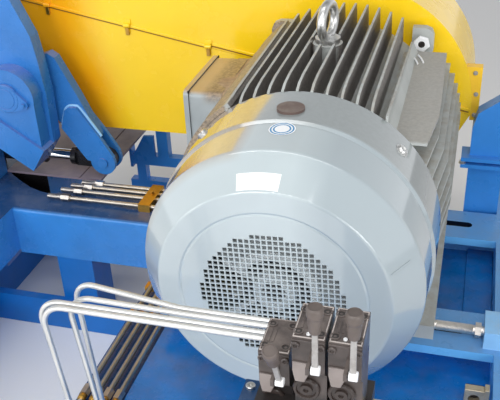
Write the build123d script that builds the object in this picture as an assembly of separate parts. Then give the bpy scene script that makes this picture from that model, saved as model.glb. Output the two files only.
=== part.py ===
from build123d import *
import math
import os

# Everything is laid out from the motor: X to the right, Y from the fan end to the drive end,
# Z up, with zero on the motor axis at the rear edge of the fan cover. The finished pieces are
# moved so that the origin is the centre of the frame's footprint on the floor.

# Motor, frame size 315 with long feet, on 3 mm of shims
SHAFT_HEIGHT = 318.0
FOOT_BOLT_X = 508.0
FOOT_BOLT_Y = 508.0
FOOT_BOLT_FRONT = 35.0
BARREL_R = 265.0
BARREL_LEN = 635.0
BARREL_BORE_R = 60.0
FIN_TIP_R = 333.0
FIN_THICK = 6.0
FIN_PITCH = 33.4
FIN_COUNT = 12
FIN_MIDDLE_X = -1.5
FIN_FRONT_R = 320.0
FIN_RISE = 70.0
SIDE_FIN_PITCH = 30.0
SIDE_FIN_TOP = 163.0
SIDE_FIN_COUNT = 12
SIDE_FIN_SHORT = 16.0
SIDE_FIN_FULL_Y = 150.0
PAD_RIM_FRONT_Z = 272.0
PAD_RIM_REAR_Z = 240.0
PAD_FLAT_X = 199.0
PAD_FLAT_Z = 213.0
PAD_EDGE = ((0.0, 272.0), (150.0, 287.0), (250.0, 287.0), (580.0, 279.0))
PAD_WEB_OUT_X = 232.0
PAD_LEN = 580.0
SADDLE_R = 329.0
SADDLE_THICK = 12.0
SADDLE_START = 124.0
SADDLE_END = 165.0
SADDLE_FRONT = 5.0
SADDLE_REAR = 620.0
FOOT_OUT_X = 325.0
FOOT_WIDTH = 90.0
FOOT_THICK = 40.0
FOOT_FRONT = -17.0
FOOT_LEN = 687.0
FOOT_WEB_IN_X = 175.0
FOOT_WEB_OUT_X = 290.0
FOOT_WEB_TOP = -180.0
FOOT_BOLT_R = 12.0
FOOT_HOLE_R = 14.0
SHAFT_R = 40.0
SHAFT_REACH = 195.0
BEARING_GAP = 0.05
SHIELD_THICK = 30.0
SHIELD_R = 258.0
EAR_OUTLINE = ((177.0, 150.0), (177.0, 262.0), (215.0, 262.0), (231.0, 255.0), (238.0, 238.0), (238.0, 195.0),
               (190.0, 150.0))
EAR_BOLT = (211.0, 217.0)
EAR_BOLT_AF = 28.0
EAR_BOLT_HEAD = 14.0

# Fan and its cover
COVER_R = 317.0
COVER_LEN = 338.0
COVER_WALL = 4.0
COVER_STEP_Y = 150.0
COVER_STEP = 5.0
COVER_STEP_RUN = 7.0
COVER_SHOULDER_R = 307.0
COVER_SHOULDER_Y = 270.0
COVER_SHOULDER_BEND = 14.0
COVER_RIM_R = 249.0
COVER_RIM_BEND = 8.0
FACE_RING_R = 200.0
FACE_RING_WIDTH = 4.0
FACE_RING_DEPTH = 1.5
GRILLE_R = 158.0
GRILLE_HOLE = 8.0
GRILLE_PITCH = 12.2
GRILLE_ROWS = 12
FAN_R = 245.0
FAN_HUB_R = 66.0
FAN_DISC_R = 150.0
FAN_BLADES = 9
FAN_BLADE_THICK = 6.0
FAN_FRONT = 305.0
FAN_DEPTH = 95.0
PLUG_R = 30.0
PLUG_HEIGHT = 5.0
PLUG_X = -10.0
PLUG_Y = 98.0

# Terminal box on the motor's left side
BOX_IN_X = -333.0
BOX_DEPTH = 62.0
BOX_FRONT = 306.0
BOX_LEN = 284.0
BOX_TOP = 160.0
BOX_HEIGHT = 250.0
BOX_RADIUS = 18.0
BOX_NECK_X = -240.0
LID_THICK = 14.0
LID_LIP = 5.0

# Lifting eye on the barrel
EYE_X = -8.0
EYE_Y = 310.0
EYE_BOSS_R = 38.0
EYE_BOSS_ROOT = 240.0
EYE_SEAT = 322.0
EYE_COLLAR_R = 32.0
EYE_COLLAR_H = 14.0
EYE_RING_R = 42.0
EYE_BAR_R = 12.0
EYE_NECK_R = 16.0
EYE_TURN = -12.0
EYE_CLEAR_R = 44.0

# Base frame
FRAME_LEFT = -1348.0
FRAME_RIGHT = 622.0
FRAME_FRONT = -900.0
FRAME_REAR = 1030.0
RAIL_TOP_HEIGHT = 460.0
BEAM_HEIGHT = 162.0
SIDE_BEAM_WIDTH = 280.0
RIGHT_BEAM_WIDTH = 150.0
CROSS_BEAM_FRONT = 345.0
CROSS_BEAM_WIDTH = 215.0
CROSS_BEAM_HEIGHT = 175.0
CROSS_BEAM_ROUND = 14.0
MID_BEAM_RIGHT = -395.0
MID_BEAM_WIDTH = 125.0
BASE_HEIGHT = 116.0
BASE_WIDTH = 120.0
BASE_CROSS_THICK = 30.0
POST_WIDTH = 128.0
DECK_DROP = 85.0
DECK_THICK = 12.0
CROSS_POST_X = -870.0
NOTCH = ((-1200.0, 585.0), (-1200.0, 566.0), (-1140.0, 524.0), (-1079.0, 486.0), (-1030.0, 467.0),
         (-986.0, 457.0), (-958.0, 472.0), (-900.0, 540.0), (-870.0, 585.0))
NOTCH_DEPTH = 110.0

# Motor rails: wide-flange sections with slotted top flanges
RAIL_WIDTH = 156.0
RAIL_FLANGE = 24.0
RAIL_WEB = 16.0
SLOT_REACH = 133.0
SLOT_HALF_WIDTH = 14.0

# Belt adjusting screw at the front right foot
ADJUST_Y = 20.0
ADJUST_Z = -298.5
ADJUST_R = 12.0
ADJUST_NUT_AF = 34.0
ADJUST_NUT_H = 14.0
ADJUST_BLOCK_LEFT = 445.0
ADJUST_BLOCK_H = 50.0
ADJUST_BLOCK_DEPTH = 90.0

# Lashing lug on the deck: an upright plate with a hole and a rib behind its right edge
LASH_LEFT = 410.0
LASH_RIGHT = 466.0
LASH_FRONT = -164.0
LASH_PLATE_THICK = 16.0
LASH_HEIGHT = 74.0
LASH_RIB_WIDTH = 11.0
LASH_RIB_RISE = 4.0
LASH_REAR = -95.0
LASH_BASE_THICK = 10.0
LASH_HOLE_R = 13.0
LASH_HOLE_DROP = 27.0

# Plate beside the left beam, under the cylinder
CYL_DECK_LEFT = -1215.0
CYL_DECK_RIGHT = -848.0
CYL_DECK_FRONT = 570.0
CYL_DECK_THICK = 8.0
CYL_DECK_SEAM_X = -932.0
CYL_DECK_SEAM_WIDTH = 5.0

# Column behind the motor's drive end
COLUMN_LEFT = 371.0
COLUMN_DEPTH = 55.0
COLUMN_FRONT = 640.0
COLUMN_FLANGE_TOP = -150.0
COLUMN_FLANGE_THICK = 12.0
COLUMN_FLANGE_LIP = 24.0
COLUMN_GAP = 10.0
COLUMN_HEAD_LOW = -40.0
COLUMN_HEAD_TOP = 58.0

# Belt guard
GUARD_STANDOFF = 35.0
GUARD_DEPTH = 322.0
GUARD_R = 361.0
GUARD_WALL = 4.0
GUARD_LEFT_X = -900.0
GUARD_LEFT_R = 435.0
GUARD_SEAM_Z = 50.0
GUARD_SEAM_SLOPE = 0.203
GUARD_BOTTOM = -170.0
GUARD_CHAMFER_X = 287.0
GUARD_SEAM_GAP = 1.0
GUARD_SHAFT_GAP = 14.0
CLAMP_WIDTH = 30.0
CLAMP_BOTTOM = -40.0
CLAMP_TOP = 130.0
CLAMP_THICK = 22.0

# Stand under the guard's left end, on the rear floor beam, with a plain post further right
RACK_FRONT = 915.0
RACK_DEPTH = 36.0
RACK_UPRIGHT = (-778.0, -734.0)
RACK_BAR = (-888.0, -640.0, -430.0, -390.0)
RACK_LOW_BAR = (-905.0, -640.0, -532.0, -500.0)
RACK_LEG_WIDTH = 36.0
RACK_LEG_X = (-872.0, -676.0)
RACK_FLANGE = (-898.0, -444.0, -350.0)
RACK_GUSSET = ((-879.0, -392.0), (-879.0, -386.0), (-831.0, -305.0), (-790.0, -302.0), (-790.0, -392.0))
RACK_GUSSET_THICK = 10.0
RACK_POST_X = (-30.0, 30.0)

# Hood side plate and its hinge at the left, on an inclined split flange
HINGE_X = -1080.0
HINGE_Z = 25.0
PLATE_FRONT = 520.0
PLATE_THICK = 50.0
PLATE_EDGE = ((-971.0, 22.0), (-981.0, 138.0), (-991.0, 212.0), (-1039.0, 328.0), (-1075.0, 400.0))
LUG_FRONT = 462.0
LUG_R = 95.0
CAP_R = 48.0
CAP_THICK = 12.0
KEEPER_REACH = 72.0
KEEPER_TOP = 12.0
KEEPER_BOTTOM = -14.0
SPLIT_SLOPE = 0.667
SPLIT_THICK = 95.0
SPLIT_RIGHT_X = -975.0
SPLIT_RIGHT_Z = -152.0
PEDESTAL_RIGHT = -1215.0
HINGE_PIN_R = 40.0

# Lever arm: a middle plate between the hub and the fork, with a doubler on each face
LEVER_GAP = 6.0
LEVER_DOUBLER = 14.0
LEVER_MIDDLE = 38.0
LEVER_HUB_R = 75.0
LEVER_OUTLINE = ((-1090.0, 95.0), (-985.0, 135.0), (-961.0, 120.0), (-900.0, -8.0), (-839.0, -152.0),
                 (-907.0, -184.0), (-999.0, -90.0), (-1100.0, -40.0))
DOUBLER_OUTLINE = ((-950.0, -60.0), (-932.0, -48.0), (-904.0, -47.0), (-832.0, -152.0), (-791.0, -223.0),
                   (-834.0, -245.0), (-891.0, -241.0), (-970.0, -126.0))
LEVER_PIN_X = -834.0
LEVER_PIN_Z = -245.0
LEVER_PIN_R = 18.0
LEVER_END_R = 45.0

# Hydraulic cylinder
EYE_PIN_GAP = 3.0
ROD_EYE_R = 38.0
ROD_EYE_THICK = 34.0
ROD_HEAD_LEFT = -960.0
ROD_HEAD_LEN = 18.0
ROD_HEAD_R = 31.0
ROD_NECK_HALF = 28.0
ROD_R = 20.0
BARREL_TUBE_R = 34.0
BARREL_TUBE_LEN = 225.0
BARREL_END_GAP = 6.0
BORE_FLOOR = 12.0
ANCHOR_X = -1290.0
ANCHOR_PIN_R = 14.0
ANCHOR_EYE_R = 28.0
ANCHOR_EAR_THICK = 16.0
PIN_RUNNING_GAP = 0.05
SIDE_GAP = 1.0
WELD_LAP = 1.0

# Hydraulic lever valves on their stand
VALVE_WIDTH = 46.0
VALVE_DEPTH = 76.0
VALVE_X = (115.0, 173.0, 223.5)
VALVE_TOP = (237.0, 300.0, 300.0)
VALVE_BACK = (-683.0, -716.0, -716.0)
VALVE_TILT = (25.0, 0.0, 0.0)
VALVE_NECK = 60.0
VALVE_CHAMFER = 18.0
HANDLE_OFFSET_X = 15.0
HANDLE_REACH = 28.0
HANDLE_DROP = 27.0
HANDLE_LEN = 107.0
HANDLE_BAR_R = 4.0
KNOB_R = 11.0
KNOB_NARROW_R = 6.8
KNOB_LEN = 48.0
HANDLE_BLOCK = 12.0
HANDLE_PIN_R = 3.0
HANDLE_EAR = 5.0
MANIFOLD_BOTTOM = 92.0
MANIFOLD_HEIGHT = 50.0
MANIFOLD_LIP = 8.0
END_PORT_LEFT = 254.5
END_PORT_RIGHT = 282.0
END_PORT_FRONT = -745.0
END_PORT_REAR = -688.0
STAND_PLATE_THICK = 12.0
STAND_PLATE_LEFT = 44.0
STAND_PLATE_RIGHT = 250.0
STAND_PLATE_FRONT = -812.0
STAND_PLATE_BACK = -672.0
STAND_POST = 110.0
STAND_FOOT = 200.0
STAND_FOOT_THICK = 14.0

# Hydraulic tubes
TUBE_R = 5.0
TRAY_TUBE_R = 6.0
TRAY_BEND_R = 26.0
DELIVERY_Z = 200.0
DELIVERY_Y = (-648.0, -661.0, -678.0, -691.0)
DELIVERY_LEFT_X = (-281.0, -274.0, -318.0, -305.0)
DELIVERY_LEFT_Y = (-616.0, -657.0, -678.0, -691.0)
DELIVERY_BEND_R = (42.0, 44.0, 41.0, 40.0)
DELIVERY_KINK_X = -70.0
DELIVERY_LEAN = (33.0, 58.0, 62.0, 52.0)
DELIVERY_FOOT_R = 20.0
TRAY_TUBE_X = (-409.0, -438.0, -467.0, -497.0)
TRAY_TUBE_Z = -396.0
TRAY_RISE_Y = 320.0
BEAM_TUBE_Y = (531.0, 504.0, 472.0, 424.0)
BEAM_TUBE_LEFT_X = (-818.0, -846.0, -868.0, -893.0)
BEAM_TUBE_LIFT = 14.0
CLIP_WIDTH = 30.0
CLIP_GAP = 0.2
CLIP_Y = (20.0, 150.0, 260.0)
TUBE_CLAMP_X = -623.0
TUBE_CLAMP_WIDTH = 40.0
TUBE_CLAMP_H = 26.0
TUBE_CLAMP_EDGE = 14.0
UNION_R = 11.0
UNION_LEN = 30.0
UNION_Y = -309.0
FITTING_LEN = 80.0
FITTING_TAIL_R = 8.0

FLOOR_Z = -(SHAFT_HEIGHT + RAIL_TOP_HEIGHT)
SEAT_Z = -SHAFT_HEIGHT
BEAM_BOTTOM = SEAT_Z - BEAM_HEIGHT
BASE_TOP = FLOOR_Z + BASE_HEIGHT
DECK_TOP = SEAT_Z - DECK_DROP
DECK_BOTTOM = DECK_TOP - DECK_THICK
LEFT_INNER = FRAME_LEFT + SIDE_BEAM_WIDTH
RIGHT_INNER = FRAME_RIGHT - RIGHT_BEAM_WIDTH
CROSS_BEAM_REAR = CROSS_BEAM_FRONT + CROSS_BEAM_WIDTH
RAIL_Y = (FOOT_BOLT_FRONT, FOOT_BOLT_FRONT + FOOT_BOLT_Y)
MID_BEAM_LEFT = MID_BEAM_RIGHT - MID_BEAM_WIDTH
DRIVE_FACE = BARREL_LEN + SHIELD_THICK
SHAFT_END = DRIVE_FACE + SHAFT_REACH
GUARD_FRONT = DRIVE_FACE + GUARD_STANDOFF
GUARD_REAR = GUARD_FRONT + GUARD_DEPTH
FOOT_TOP = SEAT_Z + FOOT_THICK
PLATE_REAR = PLATE_FRONT + PLATE_THICK
LEVER_FRONT = PLATE_REAR + LEVER_GAP
LEVER_MIDDLE_FRONT = LEVER_FRONT + LEVER_DOUBLER
LEVER_MIDDLE_REAR = LEVER_MIDDLE_FRONT + LEVER_MIDDLE
LEVER_REAR = LEVER_MIDDLE_REAR + LEVER_DOUBLER
ROD_Y = (LEVER_FRONT + LEVER_REAR) / 2
MANIFOLD_TOP = MANIFOLD_BOTTOM + MANIFOLD_HEIGHT

to_row_frame = Pos(-(FRAME_LEFT + FRAME_RIGHT) / 2, -(FRAME_FRONT + FRAME_REAR) / 2, -FLOOR_Z)


def block(x0, x1, y0, y1, z0, z1):
    """Rectangular block between two corners."""
    centre = Pos((x0 + x1) / 2, (y0 + y1) / 2, (z0 + z1) / 2)
    return centre * Box(x1 - x0, y1 - y0, z1 - z0)


def along_x(y, z, radius, x0, x1):
    return Pos((x0 + x1) / 2, y, z) * Rot(0, 90, 0) * Cylinder(radius, x1 - x0)


def along_y(x, z, radius, y0, y1):
    return Pos(x, (y0 + y1) / 2, z) * Rot(90, 0, 0) * Cylinder(radius, y1 - y0)


def along_z(x, y, radius, z0, z1):
    return Pos(x, y, (z0 + z1) / 2) * Cylinder(radius, z1 - z0)


def slab_xz(points, y0, y1):
    """Prism whose outline lies in the XZ plane."""
    outline = Polyline([(x, y0, z) for x, z in points], close=True)
    return extrude(make_face(outline), amount=y1 - y0, dir=(0, 1, 0))


def slab_yz(points, x0, x1):
    """Prism whose outline lies in the YZ plane."""
    outline = Polyline([(x0, y, z) for y, z in points], close=True)
    return extrude(make_face(outline), amount=x1 - x0, dir=(1, 0, 0))


def slab_xy(points, z0, z1):
    """Prism whose outline lies in the XY plane."""
    outline = Polyline([(x, y, z0) for x, y in points], close=True)
    return extrude(make_face(outline), amount=z1 - z0, dir=(0, 0, 1))


def hexagon_x(y, z, across_flats, x0, x1):
    radius = across_flats / math.sqrt(3)
    shape = Plane(origin=(x0, y, z), x_dir=(0, 1, 0), z_dir=(1, 0, 0)) * RegularPolygon(radius, 6)
    return extrude(shape, amount=x1 - x0)


def hexagon_y(x, z, across_flats, y0, y1):
    radius = across_flats / math.sqrt(3)
    shape = Plane(origin=(x, y0, z), x_dir=(1, 0, 0), z_dir=(0, 1, 0)) * RegularPolygon(radius, 6)
    return extrude(shape, amount=y1 - y0)


def hexagon_z(x, y, across_flats, z0, z1):
    radius = across_flats / math.sqrt(3)
    return extrude(Pos(x, y, z0) * RegularPolygon(radius, 6), amount=z1 - z0)


def tube_path(points, bend, radius):
    """Round bar along straight runs joined by tangent arcs."""
    path = FilletPolyline(*points, radius=bend)
    start = Plane(origin=path @ 0, z_dir=path % 0)
    return sweep(start * Circle(radius), path=path)


def fin_height(x, radius):
    return math.sqrt(radius ** 2 - x ** 2)


def make_frame():
    """Base frame of box beams on posts, with the deck and the two slotted motor rails."""
    parts = {}
    inner_front = FRAME_FRONT + BASE_WIDTH
    inner_rear = FRAME_REAR - BASE_WIDTH
    front = block(FRAME_LEFT, FRAME_RIGHT, FRAME_FRONT, inner_front, FLOOR_Z, BASE_TOP)
    rear = block(FRAME_LEFT, FRAME_RIGHT, inner_rear, FRAME_REAR, FLOOR_Z, BASE_TOP)
    parts["base_end_beams"] = Compound([front, rear])
    left = block(FRAME_LEFT, FRAME_LEFT + BASE_WIDTH, inner_front, inner_rear, FLOOR_Z, BASE_TOP)
    right = block(FRAME_RIGHT - BASE_WIDTH, FRAME_RIGHT, inner_front, inner_rear, FLOOR_Z, BASE_TOP)
    parts["base_side_beams"] = Compound([left, right])
    parts["base_cross_beam"] = block(FRAME_LEFT + BASE_WIDTH, FRAME_RIGHT - BASE_WIDTH,
                                     CROSS_BEAM_FRONT - BASE_CROSS_THICK, CROSS_BEAM_FRONT,
                                     FLOOR_Z, BASE_TOP)
    notch = slab_xy(NOTCH, SEAT_Z - NOTCH_DEPTH, SEAT_Z)
    left_beam = block(FRAME_LEFT, LEFT_INNER, FRAME_FRONT, FRAME_REAR, BEAM_BOTTOM, SEAT_Z)
    parts["left_side_beam"] = left_beam - notch
    parts["right_side_beam"] = block(RIGHT_INNER, FRAME_RIGHT, FRAME_FRONT, FRAME_REAR,
                                     BEAM_BOTTOM, SEAT_Z)
    cross = block(LEFT_INNER, MID_BEAM_RIGHT, CROSS_BEAM_FRONT, CROSS_BEAM_REAR,
                  SEAT_Z - CROSS_BEAM_HEIGHT, SEAT_Z)
    top_edges = cross.edges().filter_by(Axis.X).group_by(Axis.Z)[-1]
    parts["cross_beam"] = fillet(top_edges.sort_by(Axis.Y)[0], CROSS_BEAM_ROUND) - notch
    parts["middle_beam"] = block(MID_BEAM_LEFT, MID_BEAM_RIGHT, FRAME_FRONT, CROSS_BEAM_FRONT,
                                 DECK_BOTTOM - BEAM_HEIGHT, DECK_BOTTOM)
    parts["column_beam"] = block(MID_BEAM_RIGHT, RIGHT_INNER, COLUMN_FRONT, COLUMN_FRONT + BASE_WIDTH,
                                 DECK_BOTTOM - BEAM_HEIGHT, DECK_TOP)
    parts["front_beam"] = block(MID_BEAM_RIGHT, RIGHT_INNER, FRAME_FRONT, FRAME_FRONT + BASE_WIDTH,
                                DECK_BOTTOM - BEAM_HEIGHT, DECK_BOTTOM)
    web_front = RAIL_Y[0] - RAIL_WEB / 2
    parts["deck_plate"] = block(MID_BEAM_RIGHT, RIGHT_INNER, FRAME_FRONT, web_front,
                                DECK_BOTTOM, DECK_TOP)
    parts["motor_rails"] = Compound([make_rail(y) for y in RAIL_Y])
    parts["posts"] = make_posts()
    parts["deck_lug"] = make_lug()
    top = SEAT_Z + CYL_DECK_THICK
    plate = block(CYL_DECK_LEFT, CYL_DECK_RIGHT, CYL_DECK_FRONT, FRAME_REAR, SEAT_Z, top)
    seam_end = CYL_DECK_SEAM_X + CYL_DECK_SEAM_WIDTH
    parts["cylinder_deck"] = plate - block(CYL_DECK_SEAM_X, seam_end, CYL_DECK_FRONT, FRAME_REAR,
                                           top - CYL_DECK_THICK / 2, top)
    return parts


def make_rail(y):
    """Wide-flange rail with two slots in its top flange."""
    top = block(MID_BEAM_RIGHT, RIGHT_INNER, y - RAIL_WIDTH / 2, y + RAIL_WIDTH / 2,
                SEAT_Z - RAIL_FLANGE, SEAT_Z)
    web = block(MID_BEAM_RIGHT, RIGHT_INNER, y - RAIL_WEB / 2, y + RAIL_WEB / 2,
                BEAM_BOTTOM + RAIL_FLANGE, SEAT_Z - RAIL_FLANGE)
    bottom = block(MID_BEAM_RIGHT, RIGHT_INNER, y - RAIL_WIDTH / 2, y + RAIL_WIDTH / 2,
                   BEAM_BOTTOM, BEAM_BOTTOM + RAIL_FLANGE)
    rail = top + web + bottom
    for side in (-1, 1):
        middle = side * FOOT_BOLT_X / 2
        slot = block(middle - SLOT_REACH, middle + SLOT_REACH, y - SLOT_HALF_WIDTH,
                     y + SLOT_HALF_WIDTH, SEAT_Z - RAIL_FLANGE, SEAT_Z)
        for end in (-1, 1):
            slot += along_z(middle + end * SLOT_REACH, y, SLOT_HALF_WIDTH, SEAT_Z - RAIL_FLANGE, SEAT_Z)
        rail -= slot
    return rail


def make_posts():
    """Posts between the floor beams and the upper beams."""
    front = FRAME_FRONT
    rear = FRAME_REAR - BASE_WIDTH
    low = DECK_BOTTOM - BEAM_HEIGHT
    spots = [
        (FRAME_LEFT, FRAME_LEFT + BASE_WIDTH, front, BASE_TOP, BEAM_BOTTOM),
        (FRAME_LEFT, FRAME_LEFT + BASE_WIDTH, rear, BASE_TOP, BEAM_BOTTOM),
        (FRAME_LEFT, FRAME_LEFT + BASE_WIDTH, CROSS_BEAM_FRONT, BASE_TOP, BEAM_BOTTOM),
        (FRAME_RIGHT - BASE_WIDTH, FRAME_RIGHT, front, BASE_TOP, BEAM_BOTTOM),
        (FRAME_RIGHT - BASE_WIDTH, FRAME_RIGHT, rear, BASE_TOP, BEAM_BOTTOM),
        (FRAME_RIGHT - BASE_WIDTH, FRAME_RIGHT, CROSS_BEAM_FRONT, BASE_TOP, BEAM_BOTTOM),
        (CROSS_POST_X - POST_WIDTH / 2, CROSS_POST_X + POST_WIDTH / 2, CROSS_BEAM_FRONT, FLOOR_Z,
         SEAT_Z - CROSS_BEAM_HEIGHT),
        (MID_BEAM_LEFT, MID_BEAM_RIGHT, front, BASE_TOP, low),
    ]
    return Compound([block(x0, x1, y0, y0 + BASE_WIDTH, z0, z1) for x0, x1, y0, z0, z1 in spots])


def make_lug():
    """Upright plate with a hole, on a small base plate and with a rib behind its right edge."""
    rear = LASH_FRONT + LASH_PLATE_THICK
    top = DECK_TOP + LASH_HEIGHT
    lug = block(LASH_LEFT, LASH_RIGHT, LASH_FRONT, rear, DECK_TOP, top)
    lug += block(LASH_LEFT, LASH_RIGHT, LASH_FRONT, LASH_REAR, DECK_TOP, DECK_TOP + LASH_BASE_THICK)
    lug += block(LASH_RIGHT - LASH_RIB_WIDTH, LASH_RIGHT, LASH_FRONT, LASH_REAR, DECK_TOP,
                 top + LASH_RIB_RISE)
    hole_x = (LASH_LEFT + LASH_RIGHT - LASH_RIB_WIDTH) / 2
    return lug - along_y(hole_x, top - LASH_HOLE_DROP, LASH_HOLE_R, LASH_FRONT, rear)


def make_column():
    """Flanged box column at the right, in two lengths bolted together."""
    right = RIGHT_INNER
    rear = COLUMN_FRONT + COLUMN_DEPTH
    lip = COLUMN_FLANGE_LIP
    flange_bottom = COLUMN_FLANGE_TOP - COLUMN_FLANGE_THICK
    column = block(COLUMN_LEFT, right, COLUMN_FRONT, rear, DECK_TOP, flange_bottom)
    column += block(COLUMN_LEFT - lip, right, COLUMN_FRONT - lip, rear, flange_bottom, COLUMN_FLANGE_TOP)
    gap_top = COLUMN_FLANGE_TOP + COLUMN_GAP
    head_bottom = gap_top + COLUMN_FLANGE_THICK
    head = block(COLUMN_LEFT, right, COLUMN_FRONT, rear, COLUMN_FLANGE_TOP, gap_top)
    head += block(COLUMN_LEFT - lip, right, COLUMN_FRONT - lip, rear, gap_top, head_bottom)
    slope = (COLUMN_HEAD_TOP - COLUMN_HEAD_LOW) / 2
    outline = [
        (COLUMN_LEFT, head_bottom),
        (right, head_bottom),
        (right, COLUMN_HEAD_TOP),
        (right - lip, COLUMN_HEAD_TOP),
        (COLUMN_LEFT + lip / 2, COLUMN_HEAD_LOW + slope),
        (COLUMN_LEFT, COLUMN_HEAD_LOW),
    ]
    head += slab_xz(outline, COLUMN_FRONT, rear)
    return {"rear_column": column, "column_head": head}


def make_adjuster():
    """Jacking screw that pushes the motor foot along its rails."""
    nut_right = ADJUST_BLOCK_LEFT - ADJUST_NUT_H / 2
    screw = along_x(ADJUST_Y, ADJUST_Z, ADJUST_R, FOOT_OUT_X, ADJUST_BLOCK_LEFT)
    screw += hexagon_x(ADJUST_Y, ADJUST_Z, ADJUST_NUT_AF, nut_right - ADJUST_NUT_H, nut_right)
    block_top = SEAT_Z + ADJUST_BLOCK_H
    stop = block(ADJUST_BLOCK_LEFT, FRAME_RIGHT, ADJUST_Y - ADJUST_BLOCK_DEPTH / 2,
                 ADJUST_Y + ADJUST_BLOCK_DEPTH / 2, SEAT_Z, block_top)
    return {"adjusting_screw": screw, "adjusting_block": stop}


def make_top_fins():
    """Upright cooling fins whose tops lie on the fin circle and curve down at the fan end."""
    fins = []
    for i in range(FIN_COUNT - 1):
        x = FIN_MIDDLE_X + (i - (FIN_COUNT - 1) / 2) * FIN_PITCH - FIN_THICK / 2
        edge = max(abs(x), abs(x + FIN_THICK))
        top = fin_height(edge, FIN_TIP_R)
        front = fin_height(edge, FIN_FRONT_R)
        root = fin_height(edge, BARREL_R) - FIN_THICK
        outline = [(0, root), (BARREL_LEN, root), (BARREL_LEN - FIN_RISE / 4, top), (FIN_RISE, top),
                   (FIN_RISE / 3, top - (top - front) / 3), (0, front)]
        fins.append(slab_yz(outline, x, x + FIN_THICK))
    return fins


def make_side_fins():
    """Level cooling fins on both flanks, shorter at the fan end."""
    fins = []
    for i in range(SIDE_FIN_COUNT):
        z = SIDE_FIN_TOP - i * SIDE_FIN_PITCH
        edge = max(abs(z), abs(z - FIN_THICK))
        tip = fin_height(edge, FIN_TIP_R)
        root = fin_height(edge, BARREL_R) - FIN_THICK
        for side in (-1, 1):
            outline = [(side * root, 0), (side * (tip - SIDE_FIN_SHORT), 0), (side * tip, SIDE_FIN_FULL_Y),
                       (side * tip, BARREL_LEN), (side * root, BARREL_LEN)]
            fins.append(slab_xy(outline, z - FIN_THICK, z))
    return fins


def make_pad():
    """Flat machined pad on the upper right, with the rim fin that borders it."""
    rim_x = FIN_MIDDLE_X + (FIN_COUNT - 1) / 2 * FIN_PITCH - FIN_THICK / 2
    root = PAD_FLAT_Z - 2 * FIN_THICK
    rim = slab_yz([(0, root), (PAD_LEN, root), (PAD_LEN, PAD_RIM_REAR_Z), (0, PAD_RIM_FRONT_Z)],
                  rim_x, rim_x + FIN_THICK)
    bevel = slab_xz([(rim_x, root), (rim_x, PAD_RIM_REAR_Z), (rim_x + FIN_THICK, PAD_RIM_REAR_Z),
                     (PAD_FLAT_X, PAD_FLAT_Z), (PAD_FLAT_X, root)], 0, PAD_LEN)
    edge = [(x, y) for y, x in PAD_EDGE]
    flat = slab_xy([(rim_x, 0)] + edge + [(rim_x, PAD_LEN)], PAD_FLAT_Z - FIN_THICK, PAD_FLAT_Z)
    web = block(rim_x - FIN_PITCH, PAD_WEB_OUT_X, 0, PAD_LEN, SIDE_FIN_TOP - FIN_THICK / 2,
                PAD_FLAT_Z - FIN_THICK / 2)
    return [rim, bevel, flat, web]


def make_saddle():
    """Curved cast wall on the upper left, between the fins and the terminal box."""
    wall = along_y(0, 0, SADDLE_R, SADDLE_FRONT, SADDLE_REAR)
    wall -= along_y(0, 0, SADDLE_R - SADDLE_THICK, SADDLE_FRONT, SADDLE_REAR)
    reach = 2 * SADDLE_R
    wedge = [(0, 0)]
    for turn in (SADDLE_START, (SADDLE_START + SADDLE_END) / 2, SADDLE_END):
        wedge.append((reach * math.cos(math.radians(turn)), reach * math.sin(math.radians(turn))))
    return wall & slab_xz(wedge, SADDLE_FRONT, SADDLE_REAR)


def make_motor():
    """Finned motor with feet, end shields, terminal box and lifting eye."""
    parts = {}
    housing = along_y(0, 0, BARREL_R, 0, BARREL_LEN)
    extras = make_top_fins() + make_side_fins() + make_pad() + [make_saddle()]
    for side in (-1, 1):
        near, far = sorted((side * FOOT_WEB_IN_X, side * FOOT_WEB_OUT_X))
        extras.append(block(near, far, 0, BARREL_LEN, FOOT_TOP, FOOT_WEB_TOP))
    extras.append(block(BOX_IN_X, BOX_NECK_X, BOX_FRONT + BOX_RADIUS, BOX_FRONT + BOX_LEN - BOX_RADIUS,
                        BOX_TOP - BOX_HEIGHT + BOX_RADIUS, BOX_TOP - BOX_RADIUS))
    extras.append(along_z(EYE_X, EYE_Y, EYE_BOSS_R, EYE_BOSS_ROOT, EYE_SEAT))
    housing = housing + extras - along_y(0, 0, BARREL_BORE_R, 0, BARREL_LEN)
    housing -= along_z(EYE_X, EYE_Y, EYE_CLEAR_R, EYE_SEAT, FIN_TIP_R + FIN_THICK)
    fan_end = along_y(0, 0, SHIELD_R, -SHIELD_THICK, 0)
    fan_end -= along_y(0, 0, SHAFT_R + BEARING_GAP, -SHIELD_THICK, 0)
    parts["motor_housing"] = housing + fan_end
    parts["motor_feet"] = make_feet()
    parts["foot_bolts"] = make_foot_bolts()
    parts["drive_end_shield"] = make_drive_shield()
    parts["terminal_box"] = make_terminal_box()
    lid_x = BOX_IN_X - BOX_DEPTH
    lid = block(lid_x - LID_THICK, lid_x, BOX_FRONT - LID_LIP, BOX_FRONT + BOX_LEN + LID_LIP,
                BOX_TOP - BOX_HEIGHT - LID_LIP, BOX_TOP + LID_LIP)
    parts["terminal_box_lid"] = fillet(lid.edges().filter_by(Axis.X), BOX_RADIUS)
    parts["lifting_eye"] = make_lifting_eye()
    return parts


def make_feet():
    """Foot rails with a hole at each corner of the bolt rectangle."""
    rails = []
    for side in (-1, 1):
        near, far = sorted((side * (FOOT_OUT_X - FOOT_WIDTH), side * FOOT_OUT_X))
        rail = block(near, far, FOOT_FRONT, FOOT_FRONT + FOOT_LEN, SEAT_Z, FOOT_TOP)
        for y in RAIL_Y:
            rail -= along_z(side * FOOT_BOLT_X / 2, y, FOOT_HOLE_R, SEAT_Z, FOOT_TOP)
            rail -= along_z(side * FOOT_BOLT_X / 2, y, FOOT_HOLE_R * 2, FOOT_TOP - FOOT_BOLT_R, FOOT_TOP)
        rails.append(rail)
    return Compound(rails)


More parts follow.
